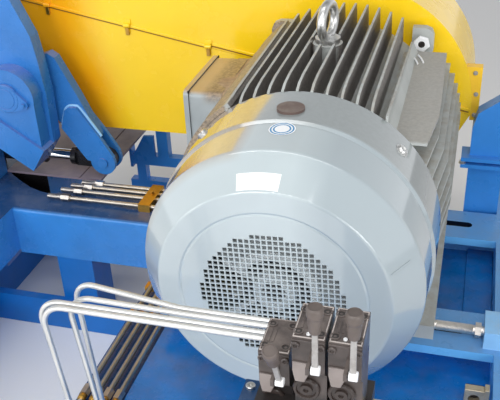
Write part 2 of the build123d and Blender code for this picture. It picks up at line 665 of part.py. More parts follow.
def make_foot_bolts():
    """Bolts through the feet and the rail slots, with heads sunk in the foot pockets."""
    bolts = []
    seat = FOOT_TOP - FOOT_BOLT_R
    under = SEAT_Z - RAIL_FLANGE
    for side in (-1, 1):
        for y in RAIL_Y:
            x = side * FOOT_BOLT_X / 2
            bolt = along_z(x, y, FOOT_BOLT_R, under, seat)
            bolt += hexagon_z(x, y, FOOT_BOLT_R * 3, seat, seat + FOOT_BOLT_R)
            for lift in (-1, 1):
                bolt += block(x - RAIL_WEB, x + RAIL_WEB, y + lift * RAIL_WEB / 2 - (lift < 0) * RAIL_WEB,
                              y + lift * RAIL_WEB / 2 + (lift > 0) * RAIL_WEB, under - FOOT_BOLT_R, under)
            bolts.append(bolt)
    return Compound(bolts)


def make_drive_shield():
    """Drive-end shield with four corner ears and the bolt heads of the upper two."""
    y0 = BARREL_LEN
    y1 = DRIVE_FACE
    shield = along_y(0, 0, SHIELD_R, y0, y1)
    for side in (-1, 1):
        for up in (-1, 1):
            shield += slab_xz([(side * x, up * z) for x, z in EAR_OUTLINE], y0, y1)
        bolt_x, bolt_z = EAR_BOLT
        shield += hexagon_y(side * bolt_x, bolt_z, EAR_BOLT_AF, y0 - EAR_BOLT_HEAD, y0)
    return shield - along_y(0, 0, SHAFT_R + BEARING_GAP, y0, y1)


def make_terminal_box():
    box_left = BOX_IN_X - BOX_DEPTH
    box = block(box_left, BOX_IN_X, BOX_FRONT, BOX_FRONT + BOX_LEN, BOX_TOP - BOX_HEIGHT, BOX_TOP)
    return fillet(box.edges().filter_by(Axis.X), BOX_RADIUS)


def make_lifting_eye():
    """Ring bolt standing on its boss, with the ring turned a little out of the YZ plane."""
    collar_top = EYE_SEAT + EYE_COLLAR_H
    centre_z = collar_top + EYE_RING_R
    eye = along_z(EYE_X, EYE_Y, EYE_COLLAR_R, EYE_SEAT, collar_top)
    eye += along_z(EYE_X, EYE_Y, EYE_NECK_R, collar_top - WELD_LAP, collar_top + EYE_BAR_R / 2)
    turn = math.radians(EYE_TURN)
    across = (math.cos(turn), math.sin(turn), 0)
    along = (-math.sin(turn), math.cos(turn), 0)
    ring = Plane(origin=(EYE_X, EYE_Y, centre_z), x_dir=along, z_dir=across)
    return eye + ring * Torus(EYE_RING_R, EYE_BAR_R)


def cover_profile(inset):
    """Half section of the fan cover, moved in by the sheet's thickness."""
    cone = math.atan2(COVER_SHOULDER_R - COVER_RIM_R, COVER_LEN - COVER_SHOULDER_Y)
    drum = COVER_R - COVER_STEP - inset
    step_end = -COVER_STEP_Y - COVER_STEP_RUN
    front = -(COVER_LEN - inset)
    rear = 1 if inset else 0
    shoulder = (COVER_SHOULDER_R - inset, -COVER_SHOULDER_Y + inset * math.tan(cone / 2))
    rim = (COVER_RIM_R - inset * math.tan((math.pi / 2 - cone) / 2), front)
    points = [(0, rear), (COVER_R - inset, rear), (COVER_R - inset, -COVER_STEP_Y), (drum, step_end),
              shoulder, rim]
    if inset == 0:
        points += [(FACE_RING_R + FACE_RING_WIDTH, front), (FACE_RING_R, front + FACE_RING_DEPTH),
                   (FACE_RING_R - FACE_RING_WIDTH, front)]
    points.append((0, front))
    face = make_face(Polyline(points, close=True))
    corner = face.vertices().sort_by_distance((shoulder[0], shoulder[1], 0))[0]
    face = fillet(corner, COVER_SHOULDER_BEND - inset)
    corner = face.vertices().sort_by_distance((rim[0], rim[1], 0))[0]
    return fillet(corner, COVER_RIM_BEND - inset)


def make_fan():
    """Fan cover with its punched grille, and the fan and shaft that turn together."""
    parts = {}
    cover = revolve(cover_profile(0), Axis.Y, 360) - revolve(cover_profile(COVER_WALL), Axis.Y, 360)
    parts["fan_cover"] = cover - along_y(0, 0, GRILLE_R, -COVER_LEN - 1, -COVER_LEN + COVER_WALL + 2)
    grille = along_y(0, 0, GRILLE_R, -COVER_LEN, -COVER_LEN + COVER_WALL)
    for i in range(GRILLE_ROWS):
        turn = i * 360 / GRILLE_ROWS
        hole = block(GRILLE_R - 3 * GRILLE_PITCH, GRILLE_R - 3 * GRILLE_PITCH + GRILLE_HOLE, -COVER_LEN,
                     -COVER_LEN + COVER_WALL, -GRILLE_HOLE / 2, GRILLE_HOLE / 2)
        grille -= Rot(0, turn, 0) * hole
    parts["fan_grille"] = grille
    fan = along_y(0, 0, FAN_HUB_R, -FAN_FRONT, -FAN_FRONT + FAN_DEPTH)
    fan += along_y(0, 0, FAN_DISC_R, -FAN_FRONT + FAN_DEPTH - FAN_BLADE_THICK, -FAN_FRONT + FAN_DEPTH)
    for i in range(FAN_BLADES):
        blade = block(FAN_HUB_R - FAN_BLADE_THICK, FAN_R, -FAN_FRONT, -FAN_FRONT + FAN_DEPTH,
                      -FAN_BLADE_THICK / 2, FAN_BLADE_THICK / 2)
        fan += Rot(0, i * 360 / FAN_BLADES, 0) * blade
    parts["fan"] = fan - along_y(0, 0, SHAFT_R, -FAN_FRONT, -FAN_FRONT + FAN_DEPTH)
    parts["motor_shaft"] = along_y(0, 0, SHAFT_R, -FAN_FRONT, SHAFT_END)
    plug_z = fin_height(abs(PLUG_X) + PLUG_R, COVER_R)
    plug = along_z(PLUG_X, -PLUG_Y, PLUG_R, plug_z, COVER_R + PLUG_HEIGHT)
    parts["cover_plug"] = plug - along_y(0, 0, COVER_R, -COVER_STEP_Y, 0)
    return parts


def guard_outline(inset):
    """Outline of the whole guard: a small round end, a large round end and a flat bottom."""
    left_z = GUARD_SEAM_Z - GUARD_SEAM_SLOPE * GUARD_LEFT_X
    r1 = GUARD_R - inset
    r2 = GUARD_LEFT_R - inset
    reach = math.hypot(GUARD_LEFT_X, left_z)
    lean = math.atan2(left_z, -GUARD_LEFT_X)
    tangent = math.pi / 2 - lean + math.asin((GUARD_LEFT_R - GUARD_R) / reach)
    top_right = (r1 * math.cos(tangent), r1 * math.sin(tangent))
    top_left = (GUARD_LEFT_X + r2 * math.cos(tangent), left_z + r2 * math.sin(tangent))
    bottom = GUARD_BOTTOM + inset
    seam_end_z = GUARD_SEAM_Z - GUARD_SEAM_SLOPE * GUARD_R
    right_end = (math.sqrt(r1 ** 2 - seam_end_z ** 2), seam_end_z)
    left_drop = left_z - bottom
    left_end = (GUARD_LEFT_X - math.sqrt(max(r2 ** 2 - left_drop ** 2, 0)), bottom)
    right_arc = ThreePointArc(right_end, (r1 * math.cos(tangent / 2), r1 * math.sin(tangent / 2)), top_right)
    left_arc = ThreePointArc(top_left, (GUARD_LEFT_X - r2, left_z), left_end)
    bottom_run = Polyline(left_end, (GUARD_CHAMFER_X - inset, bottom), right_end)
    return make_face(right_arc + Line(top_right, top_left) + left_arc + bottom_run)


def guard_solid(inset, y0, y1):
    face = Plane(origin=(0, y0, 0), x_dir=(1, 0, 0), z_dir=(0, -1, 0)) * guard_outline(inset)
    return extrude(face, amount=y1 - y0, dir=(0, 1, 0))


def seam_z(x):
    return GUARD_SEAM_Z - GUARD_SEAM_SLOPE * x


def make_guard():
    """Sheet-metal belt guard in two halves that meet on a sloping seam."""
    shell = guard_solid(0, GUARD_FRONT, GUARD_REAR)
    shell -= guard_solid(GUARD_WALL, GUARD_FRONT + GUARD_WALL, GUARD_REAR - GUARD_WALL)
    shell -= along_y(0, 0, SHAFT_R + GUARD_SHAFT_GAP, GUARD_FRONT, GUARD_FRONT + GUARD_WALL)
    far = 2000.0
    half_gap = GUARD_SEAM_GAP / 2
    above = slab_xz([(-far, seam_z(-far) + half_gap), (far, seam_z(far) + half_gap), (far, far),
                     (-far, far)], GUARD_FRONT - far, GUARD_REAR + far)
    below = slab_xz([(-far, seam_z(-far) - half_gap), (far, seam_z(far) - half_gap), (far, -far),
                     (-far, -far)], GUARD_FRONT - far, GUARD_REAR + far)
    upper = shell & above
    lower = shell & below
    clamp = block(0, GUARD_R + CLAMP_THICK, GUARD_FRONT, GUARD_FRONT + CLAMP_WIDTH,
                  CLAMP_BOTTOM, CLAMP_TOP)
    clamp -= along_y(0, 0, GUARD_R, GUARD_FRONT, GUARD_FRONT + CLAMP_WIDTH)
    return {"guard_upper": upper, "guard_lower": lower, "guard_clamp": clamp,
            "guard_stand": make_guard_stand()}


def make_guard_stand():
    """Welded bars between the rear floor beam and the bottom of the guard."""
    y0 = RACK_FRONT
    y1 = y0 + RACK_DEPTH
    x0, x1, z0, z1 = RACK_BAR
    frame = block(x0, x1, y0, y1, z0, z1)
    frame += block(RACK_UPRIGHT[0], RACK_UPRIGHT[1], y0, y1, z1, GUARD_BOTTOM)
    frame += block(RACK_FLANGE[0], x0, y0, y1, RACK_FLANGE[1], RACK_FLANGE[2])
    for x in RACK_LEG_X:
        frame += block(x, x + RACK_LEG_WIDTH, y0, y1, BASE_TOP, z0)
    x0, x1, z0, z1 = RACK_LOW_BAR
    frame += block(x0, x1, y0, y1, z0, z1)
    frame += slab_xz(RACK_GUSSET, y0, y0 + RACK_GUSSET_THICK)
    post = block(RACK_POST_X[0], RACK_POST_X[1], y0, y1, BASE_TOP, GUARD_BOTTOM)
    return Compound([frame, post])


def split_z(x):
    """Height of the inclined split face above a given x."""
    return SPLIT_RIGHT_Z - SPLIT_SLOPE * (x - SPLIT_RIGHT_X)


def make_hinge():
    """Hood side plate with its hinge lug, on an inclined flange and a pedestal."""
    parts = {}
    left = FRAME_LEFT
    plate = [(left, split_z(left)), (SPLIT_RIGHT_X, SPLIT_RIGHT_Z)] + list(PLATE_EDGE)
    plate.append((left, PLATE_EDGE[-1][1]))
    side = slab_xz(plate, PLATE_FRONT, PLATE_REAR)
    side -= along_y(HINGE_X, HINGE_Z, HINGE_PIN_R, PLATE_FRONT, PLATE_REAR)
    parts["hood_side_plate"] = side
    lug_left = HINGE_X - LUG_R
    lug_right = SPLIT_RIGHT_X - CAP_THICK
    below = HINGE_Z - 3 * LUG_R
    lug = [(lug_left, HINGE_Z), (lug_left, below), (lug_right, below), (lug_right, HINGE_Z)]
    lug_solid = slab_xz(lug, LUG_FRONT, PLATE_FRONT)
    lug_solid += along_y(HINGE_X, HINGE_Z, LUG_R, LUG_FRONT, PLATE_FRONT)
    waste = [(left, split_z(left)), (HINGE_X + 2 * LUG_R, split_z(HINGE_X + 2 * LUG_R)),
             (HINGE_X + 2 * LUG_R, SEAT_Z), (left, SEAT_Z)]
    lug_solid -= slab_xz(waste, LUG_FRONT, PLATE_FRONT)
    parts["hinge_lug"] = lug_solid - along_y(HINGE_X, HINGE_Z, HINGE_PIN_R, LUG_FRONT, PLATE_FRONT)
    tilt = math.atan(SPLIT_SLOPE)
    drop = SPLIT_THICK / math.cos(tilt)
    flange = [(left, split_z(left)), (SPLIT_RIGHT_X, SPLIT_RIGHT_Z),
              (SPLIT_RIGHT_X - SPLIT_THICK * math.sin(tilt), SPLIT_RIGHT_Z - SPLIT_THICK * math.cos(tilt)),
              (left, split_z(left) - drop)]
    slab = slab_xz(flange, LUG_FRONT - CAP_THICK, PLATE_REAR)
    pedestal = [(left, SEAT_Z), (PEDESTAL_RIGHT, SEAT_Z),
                (PEDESTAL_RIGHT, split_z(PEDESTAL_RIGHT) - drop / 2), (left, split_z(left) - drop / 2)]
    parts["hinge_pedestal"] = slab + slab_xz(pedestal, LUG_FRONT, PLATE_REAR)
    cap = along_y(HINGE_X, HINGE_Z, CAP_R, LUG_FRONT - CAP_THICK, LUG_FRONT)
    cap += block(HINGE_X, HINGE_X + KEEPER_REACH, LUG_FRONT - CAP_THICK, LUG_FRONT,
                 HINGE_Z + KEEPER_BOTTOM, HINGE_Z + KEEPER_TOP)
    parts["hinge_pin"] = cap + along_y(HINGE_X, HINGE_Z, HINGE_PIN_R, LUG_FRONT, LEVER_REAR + CAP_THICK)
    return parts


def make_lever():
    """Lever arm on the hinge pin, the pin at its fork, and the cylinder that pushes it."""
    parts = {}
    arm = slab_xz(LEVER_OUTLINE, LEVER_MIDDLE_FRONT, LEVER_MIDDLE_REAR)
    arm += along_y(HINGE_X, HINGE_Z, LEVER_HUB_R, LEVER_FRONT, LEVER_REAR)
    for y0, y1 in ((LEVER_FRONT, LEVER_MIDDLE_FRONT), (LEVER_MIDDLE_REAR, LEVER_REAR)):
        arm += slab_xz(DOUBLER_OUTLINE, y0, y1) + along_y(LEVER_PIN_X, LEVER_PIN_Z, LEVER_END_R, y0, y1)
    arm -= along_y(HINGE_X, HINGE_Z, HINGE_PIN_R + PIN_RUNNING_GAP, LEVER_FRONT, LEVER_REAR)
    parts["lever_arm"] = arm - along_y(LEVER_PIN_X, LEVER_PIN_Z, LEVER_PIN_R, LEVER_FRONT, LEVER_REAR)
    parts["lever_pin"] = along_y(LEVER_PIN_X, LEVER_PIN_Z, LEVER_PIN_R, LEVER_FRONT - CAP_THICK / 2,
                                 LEVER_REAR + CAP_THICK / 2)
    eye_half = ROD_EYE_THICK / 2
    gland_x = ANCHOR_X + BARREL_TUBE_LEN
    barrel_x = ANCHOR_X + ANCHOR_EYE_R + BARREL_END_GAP
    bore_end = barrel_x + BORE_FLOOR
    head_right = ROD_HEAD_LEFT + ROD_HEAD_LEN
    parts["cylinder_rod"] = along_x(ROD_Y, LEVER_PIN_Z, ROD_R, bore_end + SIDE_GAP, ROD_HEAD_LEFT)
    head = along_x(ROD_Y, LEVER_PIN_Z, ROD_HEAD_R, ROD_HEAD_LEFT, head_right)
    head += block(head_right - WELD_LAP, LEVER_PIN_X, ROD_Y - eye_half, ROD_Y + eye_half,
                  LEVER_PIN_Z - ROD_NECK_HALF, LEVER_PIN_Z + ROD_NECK_HALF)
    head += along_y(LEVER_PIN_X, LEVER_PIN_Z, ROD_EYE_R, ROD_Y - eye_half, ROD_Y + eye_half)
    head -= along_y(LEVER_PIN_X, LEVER_PIN_Z, LEVER_PIN_R + EYE_PIN_GAP, ROD_Y - eye_half, ROD_Y + eye_half)
    parts["rod_head"] = head
    tube = along_x(ROD_Y, LEVER_PIN_Z, BARREL_TUBE_R, barrel_x, gland_x)
    tube += along_y(ANCHOR_X, LEVER_PIN_Z, ANCHOR_EYE_R, ROD_Y - eye_half, ROD_Y + eye_half)
    tube += along_x(ROD_Y, LEVER_PIN_Z, eye_half - WELD_LAP, ANCHOR_X, barrel_x)
    tube -= along_y(ANCHOR_X, LEVER_PIN_Z, ANCHOR_PIN_R + PIN_RUNNING_GAP, ROD_Y - eye_half,
                    ROD_Y + eye_half)
    tube -= along_x(ROD_Y, LEVER_PIN_Z, ROD_R + PIN_RUNNING_GAP, bore_end, gland_x)
    parts["cylinder_barrel"] = tube
    ears = []
    for side in (-1, 1):
        near = ROD_Y + side * (eye_half + SIDE_GAP)
        far = near + side * ANCHOR_EAR_THICK
        y0, y1 = sorted((near, far))
        ear = block(ANCHOR_X - ANCHOR_EYE_R, ANCHOR_X + ANCHOR_EYE_R, y0, y1, SEAT_Z, LEVER_PIN_Z)
        ear += along_y(ANCHOR_X, LEVER_PIN_Z, ANCHOR_EYE_R, y0, y1)
        ears.append(ear)
    pin = along_y(ANCHOR_X, LEVER_PIN_Z, ANCHOR_PIN_R, ROD_Y - eye_half - SIDE_GAP - ANCHOR_EAR_THICK,
                  ROD_Y + eye_half + SIDE_GAP + ANCHOR_EAR_THICK)
    parts["cylinder_bracket"] = ears[0] + ears[1] + pin
    return parts


def make_valve(index):
    """Valve body with its chamfered front and the ears that hold its lever."""
    x = VALVE_X[index]
    top = VALVE_TOP[index]
    back = VALVE_BACK[index]
    front = back - VALVE_DEPTH
    half = VALVE_WIDTH / 2
    neck_z = top - VALVE_NECK
    outline = [(back, MANIFOLD_TOP), (back, top), (front, top), (front, neck_z),
               (front + VALVE_CHAMFER, neck_z - VALVE_CHAMFER), (front + VALVE_CHAMFER, MANIFOLD_TOP)]
    body = slab_yz(outline, x - half, x + half)
    pivot_y = front - HANDLE_REACH
    pivot_z = top - HANDLE_DROP
    handle_x = x + HANDLE_OFFSET_X
    half_block = HANDLE_BLOCK / 2
    near = handle_x - half_block - SIDE_GAP
    body += block(near - HANDLE_EAR, near, pivot_y - half_block, front,
                  pivot_z - half_block, pivot_z + half_block)
    body += along_x(pivot_y, pivot_z, HANDLE_PIN_R, near - HANDLE_EAR, handle_x + half_block)
    return body


def make_handle(index):
    """Lever with a tapered knob, swung forward by its rest tilt."""
    x = VALVE_X[index] + HANDLE_OFFSET_X
    pivot_y = VALVE_BACK[index] - VALVE_DEPTH - HANDLE_REACH
    pivot_z = VALVE_TOP[index] - HANDLE_DROP
    half = HANDLE_BLOCK / 2
    handle = block(-half, half, -half, half, -half, half)
    handle += along_z(0, 0, HANDLE_BAR_R, 0, HANDLE_LEN - KNOB_LEN + 1)
    knob = Pos(0, 0, HANDLE_LEN - KNOB_LEN / 2) * Cone(KNOB_NARROW_R, KNOB_R, KNOB_LEN)
    handle = handle + knob - along_x(0, 0, HANDLE_PIN_R + PIN_RUNNING_GAP, -half, half)
    return Pos(x, pivot_y, pivot_z) * Rot(VALVE_TILT[index], 0, 0) * handle


def make_valve_bank():
    """Valves on their manifold, on a stand with a top plate, a post and a foot."""
    parts = {}
    names = ("left", "middle", "right")
    for index, name in enumerate(names):
        parts["valve_" + name] = make_valve(index)
        parts["valve_lever_" + name] = make_handle(index)
    manifold_left = VALVE_X[0] - VALVE_WIDTH / 2 - MANIFOLD_LIP
    manifold_front = VALVE_BACK[1] - VALVE_DEPTH
    parts["manifold"] = block(manifold_left, END_PORT_LEFT, manifold_front, VALVE_BACK[0],
                              MANIFOLD_BOTTOM, MANIFOLD_TOP)
    parts["manifold_end_block"] = block(END_PORT_LEFT, END_PORT_RIGHT, END_PORT_FRONT, END_PORT_REAR,
                                        MANIFOLD_BOTTOM, MANIFOLD_TOP)
    middle_x = (STAND_PLATE_LEFT + STAND_PLATE_RIGHT) / 2
    middle_y = (STAND_PLATE_FRONT + STAND_PLATE_BACK) / 2
    plate_bottom = MANIFOLD_BOTTOM - STAND_PLATE_THICK
    half = STAND_POST / 2
    foot = STAND_FOOT / 2
    stand = block(STAND_PLATE_LEFT, STAND_PLATE_RIGHT, STAND_PLATE_FRONT, STAND_PLATE_BACK,
                  plate_bottom, MANIFOLD_BOTTOM)
    stand += block(middle_x - half, middle_x + half, middle_y - half, middle_y + half, DECK_TOP, plate_bottom)
    stand += block(middle_x - foot, middle_x + foot, middle_y - foot / 2, middle_y + foot / 2,
                   DECK_TOP, DECK_TOP + STAND_FOOT_THICK)
    parts["valve_stand"] = stand
    return parts


def delivery_route(i):
    """Points of one tube: from its valve to the left, down beside the stand and back along the tray."""
    y = DELIVERY_Y[i]
    left_x = DELIVERY_LEFT_X[i]
    left_y = DELIVERY_LEFT_Y[i]
    points = []
    if i < 2:
        port_x = VALVE_X[2 - i]
        points += [(port_x, VALVE_BACK[2 - i], DELIVERY_Z), (port_x, y, DELIVERY_Z)]
    else:
        points.append((VALVE_X[0] - VALVE_WIDTH / 2, y, DELIVERY_Z))
    if left_y != y:
        points.append((DELIVERY_KINK_X, y, DELIVERY_Z))
    points.append((left_x, left_y, DELIVERY_Z))
    points.append((left_x + DELIVERY_LEAN[i], left_y, TRAY_TUBE_Z))
    points.append((TRAY_TUBE_X[i], left_y, TRAY_TUBE_Z))
    points.append((TRAY_TUBE_X[i], UNION_Y, TRAY_TUBE_Z))
    return points


def bent_tube(points, bends, radius):
    """Round bar along straight runs, with its own bend radius at each corner."""
    start = Vector(*points[0])
    edges = []
    for i in range(1, len(points) - 1):
        corner = Vector(*points[i])
        back = (Vector(*points[i - 1]) - corner).normalized()
        ahead = (Vector(*points[i + 1]) - corner).normalized()
        half = math.acos(max(-1.0, min(1.0, back.dot(ahead)))) / 2
        setback = bends[i - 1] / math.tan(half)
        enter = corner + back * setback
        leave = corner + ahead * setback
        middle_line = (back + ahead).normalized()
        middle = corner + middle_line * (bends[i - 1] / math.sin(half) - bends[i - 1])
        edges.append(Line(start, enter))
        edges.append(ThreePointArc(enter, middle, leave))
        start = leave
    edges.append(Line(start, Vector(*points[-1])))
    path = Wire([edge.edge() for edge in edges])
    begin = Plane(origin=path @ 0, z_dir=path % 0)
    return sweep(begin * Circle(radius), path=path)


def make_tubes():
    """Steel tubes from the valves down to the tray, back along it and over the cross beam."""
    parts = {}
    delivery = []
    tray = []
    fittings = []
    beam_z = SEAT_Z + BEAM_TUBE_LIFT
    for i in range(len(TRAY_TUBE_X)):
        points = delivery_route(i)
        bends = [DELIVERY_FOOT_R] * (len(points) - 2)
        bends[-3] = DELIVERY_BEND_R[i]
        delivery.append(bent_tube(points, bends, TUBE_R))
        x = TRAY_TUBE_X[i]
        route = [(x, UNION_Y, TRAY_TUBE_Z), (x, TRAY_RISE_Y, TRAY_TUBE_Z), (x, TRAY_RISE_Y, beam_z),
                 (x, BEAM_TUBE_Y[i], beam_z), (BEAM_TUBE_LEFT_X[i], BEAM_TUBE_Y[i], beam_z)]
        tray.append(tube_path(route, TRAY_BEND_R, TRAY_TUBE_R))
        union = hexagon_y(x, TRAY_TUBE_Z, UNION_R * 2, UNION_Y - UNION_LEN / 2, UNION_Y + UNION_LEN / 2)
        union -= along_y(x, TRAY_TUBE_Z, TUBE_R, UNION_Y - UNION_LEN, UNION_Y)
        fittings.append(union - along_y(x, TRAY_TUBE_Z, TRAY_TUBE_R, UNION_Y, UNION_Y + UNION_LEN))
    parts["delivery_tubes"] = Compound(delivery)
    parts["tray_tubes"] = Compound(tray)
    clamps = []
    for y in CLIP_Y:
        clamps.append(block(MID_BEAM_LEFT, MID_BEAM_RIGHT - 1, y - CLIP_WIDTH / 2, y + CLIP_WIDTH / 2,
                            DECK_BOTTOM, TRAY_TUBE_Z - TRAY_TUBE_R - CLIP_GAP))
    clamp = block(TUBE_CLAMP_X - TUBE_CLAMP_WIDTH / 2, TUBE_CLAMP_X + TUBE_CLAMP_WIDTH / 2,
                  min(BEAM_TUBE_Y) - TUBE_CLAMP_EDGE, max(BEAM_TUBE_Y) + TUBE_CLAMP_EDGE,
                  SEAT_Z, SEAT_Z + TUBE_CLAMP_H)
    for y in BEAM_TUBE_Y:
        clamp -= along_x(y, beam_z, TRAY_TUBE_R, TUBE_CLAMP_X - TUBE_CLAMP_WIDTH,
                         TUBE_CLAMP_X + TUBE_CLAMP_WIDTH)
    parts["tube_clamps"] = Compound(clamps + [clamp])
    for y, x in zip(BEAM_TUBE_Y, BEAM_TUBE_LEFT_X):
        fitting = hexagon_x(y, beam_z, UNION_R * 2, x - UNION_LEN, x)
        fittings.append(fitting + along_x(y, beam_z, FITTING_TAIL_R, x - FITTING_LEN, x - UNION_LEN))
    parts["tube_fittings"] = Compound(fittings)
    return parts


def main():
    os.makedirs("parts", exist_ok=True)
    nodes = {}
    for group in (make_frame(), make_column(), make_adjuster(), make_motor(), make_fan(), make_guard(),
                  make_hinge(), make_lever(), make_valve_bank(), make_tubes()):
        nodes.update(group)
    for name, shape in nodes.items():
        export_step(to_row_frame * shape, "parts/" + name + ".step")


main()
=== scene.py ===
import bpy
import bmesh
import math
from mathutils import Matrix, Vector


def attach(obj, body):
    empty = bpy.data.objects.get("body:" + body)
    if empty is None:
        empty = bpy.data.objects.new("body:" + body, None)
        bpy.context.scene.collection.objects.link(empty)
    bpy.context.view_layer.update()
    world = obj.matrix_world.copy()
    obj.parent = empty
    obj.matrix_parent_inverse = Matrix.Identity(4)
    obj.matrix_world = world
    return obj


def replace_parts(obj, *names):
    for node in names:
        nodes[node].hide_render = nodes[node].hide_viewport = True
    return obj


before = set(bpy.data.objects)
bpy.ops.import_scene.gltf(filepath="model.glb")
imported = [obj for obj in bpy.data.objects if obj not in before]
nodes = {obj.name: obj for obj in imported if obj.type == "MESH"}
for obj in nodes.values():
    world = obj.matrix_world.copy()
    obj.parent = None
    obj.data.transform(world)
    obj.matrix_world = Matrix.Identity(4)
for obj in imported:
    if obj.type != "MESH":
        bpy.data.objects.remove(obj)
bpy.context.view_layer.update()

# Places below are in millimetres from the motor axis at the rear edge of the fan cover,
# as in the part's source. This moves them to the shared frame, in metres.
SHIFT = Vector((363, -65, 778))


def place(x, y, z):
    """Place in metres in the shared frame, from millimetres at the motor axis."""
    return (Vector((x, y, z)) + SHIFT) / 1000


def srgb(r, g, b):
    """Linear colour from 0-255 display values."""
    out = []
    for value in (r, g, b):
        c = value / 255
        out.append(c / 12.92 if c <= 0.04045 else ((c + 0.055) / 1.055) ** 2.4)
    return (*out, 1)


def shaded(colour, share):
    """A linear colour darkened to a share of itself."""
    return tuple(c * share for c in colour[:3]) + (1,)


def add_object(name, data):
    """Object of a name, put in the scene."""
    thing = bpy.data.objects.new(name, data)
    bpy.context.collection.objects.link(thing)
    return thing


# Camera at the photograph's viewing angle: place in metres, angles in degrees

CAMERA_PLACE = (0.7082, -1.6634, 1.7823)
CAMERA_HEADING = 16.86
CAMERA_DOWN = 30.46
CAMERA_ROLL = -2.70
LENS = 57.108
SENSOR_WIDTH = 36
NEAR_LIMIT = 0.05


def make_camera():
    """Camera that stands and looks as the photograph's does."""
    data = bpy.data.cameras.new("camera")
    data.lens = LENS
    data.sensor_width = SENSOR_WIDTH
    data.clip_start = NEAR_LIMIT
    camera = add_object("camera", data)
    heading = math.radians(CAMERA_HEADING)
    down = math.radians(CAMERA_DOWN)
    roll = math.radians(CAMERA_ROLL)
    level = math.cos(down)
    forward = Vector((-math.sin(heading) * level, math.cos(heading) * level, -math.sin(down)))
    flat_right = Vector((math.cos(heading), math.sin(heading), 0))
    flat_up = flat_right.cross(forward)
    right = flat_right * math.cos(roll) + flat_up * math.sin(roll)
    up = right.cross(forward)
    turn = Matrix((right, up, -forward)).transposed().to_4x4()
    camera.matrix_world = Matrix.Translation(CAMERA_PLACE) @ turn
    bpy.context.scene.camera = camera


make_camera()
bpy.context.scene.view_settings.view_transform = "Standard"


# Materials

class Net:
    """Small helper for building a node material."""

    def __init__(self, name):
        self.material = bpy.data.materials.new(name)
        self.material.use_nodes = True
        self.tree = self.material.node_tree
        self.shader = self.tree.nodes["Principled BSDF"]
        self.spot = self.add("ShaderNodeTexCoord").outputs["Object"]

    def link(self, a, b):
        self.tree.links.new(a, b)

    def add(self, kind, values=(), **settings):
        """Node of a kind; each of its (input, value) pairs holds a fixed value or an output to link."""
        node = self.tree.nodes.new(kind)
        for key, value in settings.items():
            setattr(node, key, value)
        for key, value in values:
            if isinstance(value, (int, float, tuple)):
                node.inputs[key].default_value = value
            else:
                self.link(value, node.inputs[key])
        return node

    def split(self, kind, output):
        """X, Y and Z outputs of a vector that an input node gives."""
        vector = self.add(kind).outputs[output]
        return self.add("ShaderNodeSeparateXYZ", [("Vector", vector)]).outputs

    def noise(self, scale, detail=4, rough=0.55, stretch=None):
        spot = self.spot
        if stretch:
            spot = self.add("ShaderNodeMapping", [("Scale", stretch), ("Vector", spot)]).outputs["Vector"]
        values = [("Scale", scale), ("Detail", detail), ("Roughness", rough), ("Vector", spot)]
        return self.add("ShaderNodeTexNoise", values).outputs["Fac"]

    def ramp(self, value, low, high, to_low=0, to_high=1):
        """Value carried from the range low to high over to the range to_low to to_high."""
        values = [("From Min", low), ("From Max", high), ("To Min", to_low), ("To Max", to_high)]
        return self.add("ShaderNodeMapRange", values + [("Value", value)]).outputs["Result"]

    def times(self, a, b):
        return self.add("ShaderNodeMath", [(0, a), (1, b)], operation="MULTIPLY").outputs["Value"]

    def mix(self, factor, a, b):
        """Colour a where the factor is 0 and colour b where it is 1."""
        return self.add("ShaderNodeMix", [("Factor", factor), (6, a), (7, b)], data_type="RGBA").outputs[2]

    def facing_up(self):
        """1 where the surface faces up, 0 on its sides."""
        return self.ramp(self.split("ShaderNodeNewGeometry", "Normal")["Z"], 0.55, 0.95)

    def inside(self, low, high, soft):
        """1 inside a box in millimetres from the motor axis, fading out over soft (x, y, z)."""
        spot = self.split("ShaderNodeNewGeometry", "Position")
        mask = 1
        for axis, a, b, fade in zip("XYZ", place(*low), place(*high), soft):
            mask = self.times(mask, self.ramp(spot[axis], a - fade / 1000, a))
            mask = self.times(mask, self.ramp(spot[axis], b + fade / 1000, b))
        return mask

    def finish(self, tone, gloss, rough, *layers):
        """Link colour, roughness and bump layers of (height value, strength, distance in metres)."""
        self.link(tone, self.shader.inputs["Base Color"])
        self.link(self.ramp(gloss, 0.3, 0.7, *rough), self.shader.inputs["Roughness"])
        below = []
        for value, strength, distance in layers:
            values = [("Strength", strength), ("Distance", distance), ("Height", value)]
            bump = self.add("ShaderNodeBump", values + below)
            below = [("Normal", bump.outputs["Normal"])]
        self.link(bump.outputs["Normal"], self.shader.inputs["Normal"])
        return self.material


# Fin flanks: FIN_SHADE is painted shade between the fins, FIN_GRIT is dust on them
FIN_ZONE = ((-182, -10, 225), (176, 640, 340), (4, 4, 4))
FIN_SHADE = (84, 77, 74)
FIN_GRIT = (142, 133, 127)
COAT_ROUGHNESS = 0.06


def add_fin_dust_and_shade(net, tone, strength):
    """Upright fins: dark on their flanks with painted shade mixed with dusty grit, clean on their edges."""
    across = net.split("ShaderNodeNewGeometry", "Normal")["X"]
    flank = net.add("ShaderNodeMath", [(0, across)], operation="ABSOLUTE").outputs["Value"]
    sides = net.ramp(flank, 0.6, 0.85)
    grit = net.ramp(net.noise(160, detail=4, rough=0.7), 0.35, 0.65)
    dark = net.mix(grit, srgb(*FIN_SHADE), srgb(*FIN_GRIT))
    return net.mix(net.times(net.times(sides, net.inside(*FIN_ZONE)), strength), tone, dark)


def add_scuffs(net, tone, strength, colour):
    """Long scratches and small chips."""
    lines = net.ramp(net.noise(30, detail=6, rough=0.7, stretch=(1, 5, 3)), 0.66, 0.74)
    specks = net.ramp(net.noise(140, detail=3, rough=0.6), 0.70, 0.76)
    for marks in (lines, specks):
        tone = net.mix(net.times(marks, strength), tone, srgb(*colour))
    return tone


